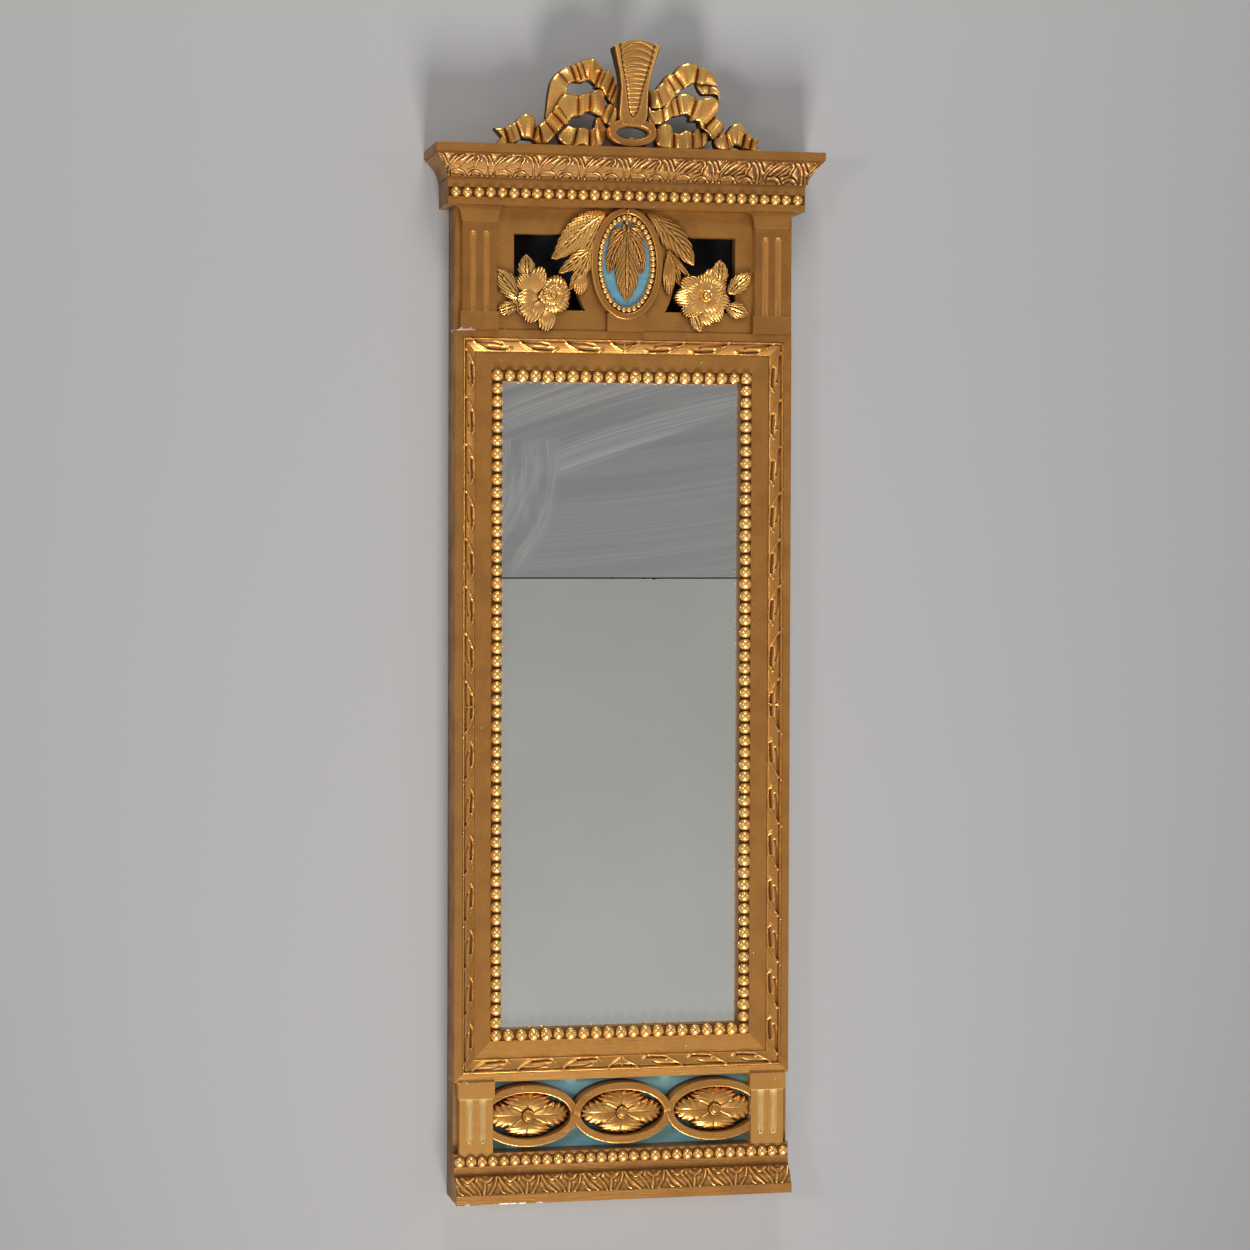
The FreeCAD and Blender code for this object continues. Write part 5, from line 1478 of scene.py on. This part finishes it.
stretches = [folded(left_arch), folded(left_loop), folded(left_fold), folded(left_tail, 7),
             folded(left_low), folded(left_knot)]
finished(joined("ribbon_bow_left", stretches), carved_gold, "crest_bow_left", sides=shaded_side_gold)

# %% Right bow
right_arch = [
    (19, 56, 21, 39.5, 38.5), (22, 55.5, 29, 39.5, 43), (25.5, 57.5, 32.5, 41, 39.2),
    (29, 61, 37, 42, 40.2), (31.5, 64, 40, 45.5, 40), (33, 66, 43, 51, 43.2),
    (35, 68.5, 45.5, 53, 39.5), (37.5, 70.5, 48.5, 55, 42), (43, 72.5, 53, 58.5, 37),
    (46, 75.5, 53.5, 58.5, 39.5), (49.5, 79, 54.5, 59.5, 41.3), (56.5, 81, 57.5, 61, 42.6),
    (64, 80.5, 62, 63, 41), (67, 79, 65, 64.5, 37.3), (68.5, 77, 66.5, 62.5, 41.5),
    (71, 77, 69, 62, 43.8), (76, 75.5, 73.5, 62.5, 40.5), (81.5, 72.5, 80, 62.5, 38.5),
    (85.5, 66.5, 86, 61, 36.5)]
right_curl = [
    (66, 63, 68, 58, 34.5), (73, 62.3, 71.5, 54, 38), (79.5, 62.3, 78, 54, 35.5),
    (84.5, 60, 84, 54, 38.5), (87.5, 56, 86, 52.5, 40), (89.5, 51, 87, 48.5, 39)]
right_turn = [
    (65, 47.5, 58, 30.5, 37.5), (67, 48.3, 59.5, 29.5, 43.5), (73, 50.5, 64, 29.8, 41.3),
    (79, 51, 67.5, 29.3, 41.8), (86, 49, 71, 28.3, 41), (87.5, 44, 72.5, 27, 39.8),
    (86.5, 38.5, 73.5, 25.5, 38), (85, 35, 74, 23.8, 36), (86, 32.3, 75, 21.3, 42),
    (89, 30.3, 78, 17.5, 41.3), (92.5, 27.3, 83, 14, 38), (94, 24, 85.5, 13.5, 36)]
right_tail = [
    (84, 14.3, 83, 11.5, 37), (86, 14.8, 85, 6.5, 39.5), (89, 17, 88, 4, 41.8),
    (92.5, 19.3, 93.5, 3.5, 40), (94.5, 18.5, 98.5, 5, 37.3), (96, 20.5, 101, 6.7, 40.3),
    (98, 23.5, 102.3, 8.3, 40.7), (101, 27, 103.5, 8.5, 42), (107, 28.8, 105.5, 8.1, 42),
    (112.5, 25.5, 108.8, 7.2, 40), (114, 20, 110.5, 6.4, 37), (115.5, 19, 112, 5.4, 43),
    (119.4, 17.7, 115.7, 4.8, 40), (120.8, 16.3, 118, 4.5, 38), (122.5, 15.3, 119.8, 3.5, 42.6),
    (129, 15.8, 129.6, 3.5, 39.5)]
right_fold = [
    (20, 39, 21, 26.5, 38), (24, 37.5, 26, 25.5, 40), (28.5, 39, 30, 25.8, 42),
    (31.5, 39.8, 34, 27.3, 38.6), (34.5, 42, 38, 30.5, 42), (39.5, 46.5, 43.5, 33, 39),
    (42, 48.5, 46.5, 33.5, 42.3), (45.5, 51, 49, 34.3, 37.8), (48.5, 53, 51.5, 35, 41.2),
    (54.5, 53.5, 55.5, 35.5, 42.6), (60.5, 52.5, 58.5, 34, 41.2), (66, 51, 62, 32, 37.5)]
right_low = [
    (28, 25.5, 25.5, 14, 37), (30.5, 25.6, 26.5, 7, 40), (34, 26, 33, 3.6, 42.2),
    (39.5, 25.4, 39, 2.6, 41), (43.5, 19.5, 43.8, 3, 37.3), (45.5, 17.7, 47, 2.3, 41.4),
    (49.5, 18.2, 51, 2.3, 41), (54.5, 20.7, 55.5, 2.6, 42.2), (59.5, 20.2, 60.3, 3.6, 39.5),
    (61.8, 19.3, 62.3, 3.6, 37.2), (65.7, 22.6, 65.6, 3.8, 42), (70.5, 20.5, 72, 5.6, 38),
    (74.4, 19, 74, 9, 40.8), (79, 18, 76.6, 12.2, 38)]
right_tie = [(67.5, 29.3, 71, 29.7, 40.5), (68.3, 25, 71.7, 25.6, 43), (69, 22.2, 72, 21.4, 43.5),
             (73.7, 21.6, 74.2, 19, 43.5), (78.3, 18.8, 77, 16.2, 43.3),
             (82.3, 13.8, 79.8, 12.8, 41)]
right_knot = [(19, 41, 21, 38.5, 38), (18.5, 36, 24, 31, 41.3), (18, 31, 24.5, 25, 39),
              (19, 26, 26, 19, 40.5)]
stretches = [folded(right_arch), folded(right_curl), folded(right_turn), folded(right_tail, 6),
             folded(right_fold), folded(right_low), folded(right_tie), folded(right_knot)]
finished(joined("ribbon_bow_right", stretches), carved_gold, "crest_bow_right", sides=shaded_side_gold)

# %% [markdown]
# ## Knot ring and horn
# A flat ring lies at the knot, with a small knob inside its foot. Above it a flaring horn
# leans forward. Its sides and its round foot stand up as a rim, and arched ribs cross it. It is
# one grid, so rim and ribs run into each other as carved wood does.

# %% Ring and horn
knot_half_height = 14.2
ring_parts = [
    oval_ring("knot", 0, cornice_top + knot_half_height, 23.7, knot_half_height, 8.2, 38.0, 49.0,
              1.4),
    knob(0, cornice_top + 8.2, 41.0, 9, 6, 7.0)]
finished(joined("knot_ring", ring_parts), flat_gold, "crest_ring")

horn_foot, horn_height = 19.5, 77.5
horn_face, face_lean = 46.6, 14.0
horn_back, back_lean = 40.5, 8.0
rib_pitch = 4.2
horn_sides = [(horn_foot, 5.0), (20.6, 8.2), (22.4, 10.8), (25.0, 12.8), (29.7, 13.9),
              (41.7, 13.6), (54.7, 13.4), (67.7, 15.5), (78.8, 18.7), (91.4, 22.4)]
channel_levels = [28, 30, 35, 41.7, 54.7, 67.7, 78.8, 97]
channel_halves = [0, 3.0, 5.0, 6.4, 8.6, 11.9, 14.8, 19.4]
horn_levels = [level for level, half in horn_sides]
horn_halves = [half for level, half in horn_sides]


def horn_front(u, v):
    """The carved face: x, depth and height at a share of its height and one of its width."""
    s = 2 * v - 1
    straight = horn_foot + (horn_levels[-1] - horn_foot) * u
    half = np.interp(straight, horn_levels, horn_halves)
    x = half * s
    z = straight + 5.6 * (1 - s * s) * eased((u - 0.75) / 0.25)
    lean = face_lean * (z - horn_foot) / horn_height
    beyond = np.abs(x) - np.interp(straight, channel_levels, channel_halves)
    rim = eased((beyond + 0.6) / 1.2)
    groove = np.exp(-((beyond + 0.9) / 0.8) ** 2)
    arch = half * 0.22 * (1 - (x / np.maximum(half, 1)) ** 2)
    rib = np.abs(np.sin(np.pi * (straight - 4 - arch * 1.1) / rib_pitch)) ** 0.8
    foot_lobes = 0.8 * np.abs(np.cos(np.pi * x / 2.6)) * eased((25 - z) / 4)
    carving = (0.9 * rib + 0.2) * (1 - rim) + rim * 2.3 - 0.5 * groove + foot_lobes
    depth = horn_face + lean + carving - 2.0 * (1 - rounded(v, 0.08))
    return x, depth, cornice_top + z


def horn_seat(x, z):
    """The back of the horn, which leans less than its face."""
    return horn_back + back_lean * (z - cornice_top - horn_foot) / horn_height


horn = carved("carved_horn", 150, 45, horn_front, horn_seat)
finished(horn, moulding_gold, "crest_horn", sides=shaded_side_gold)
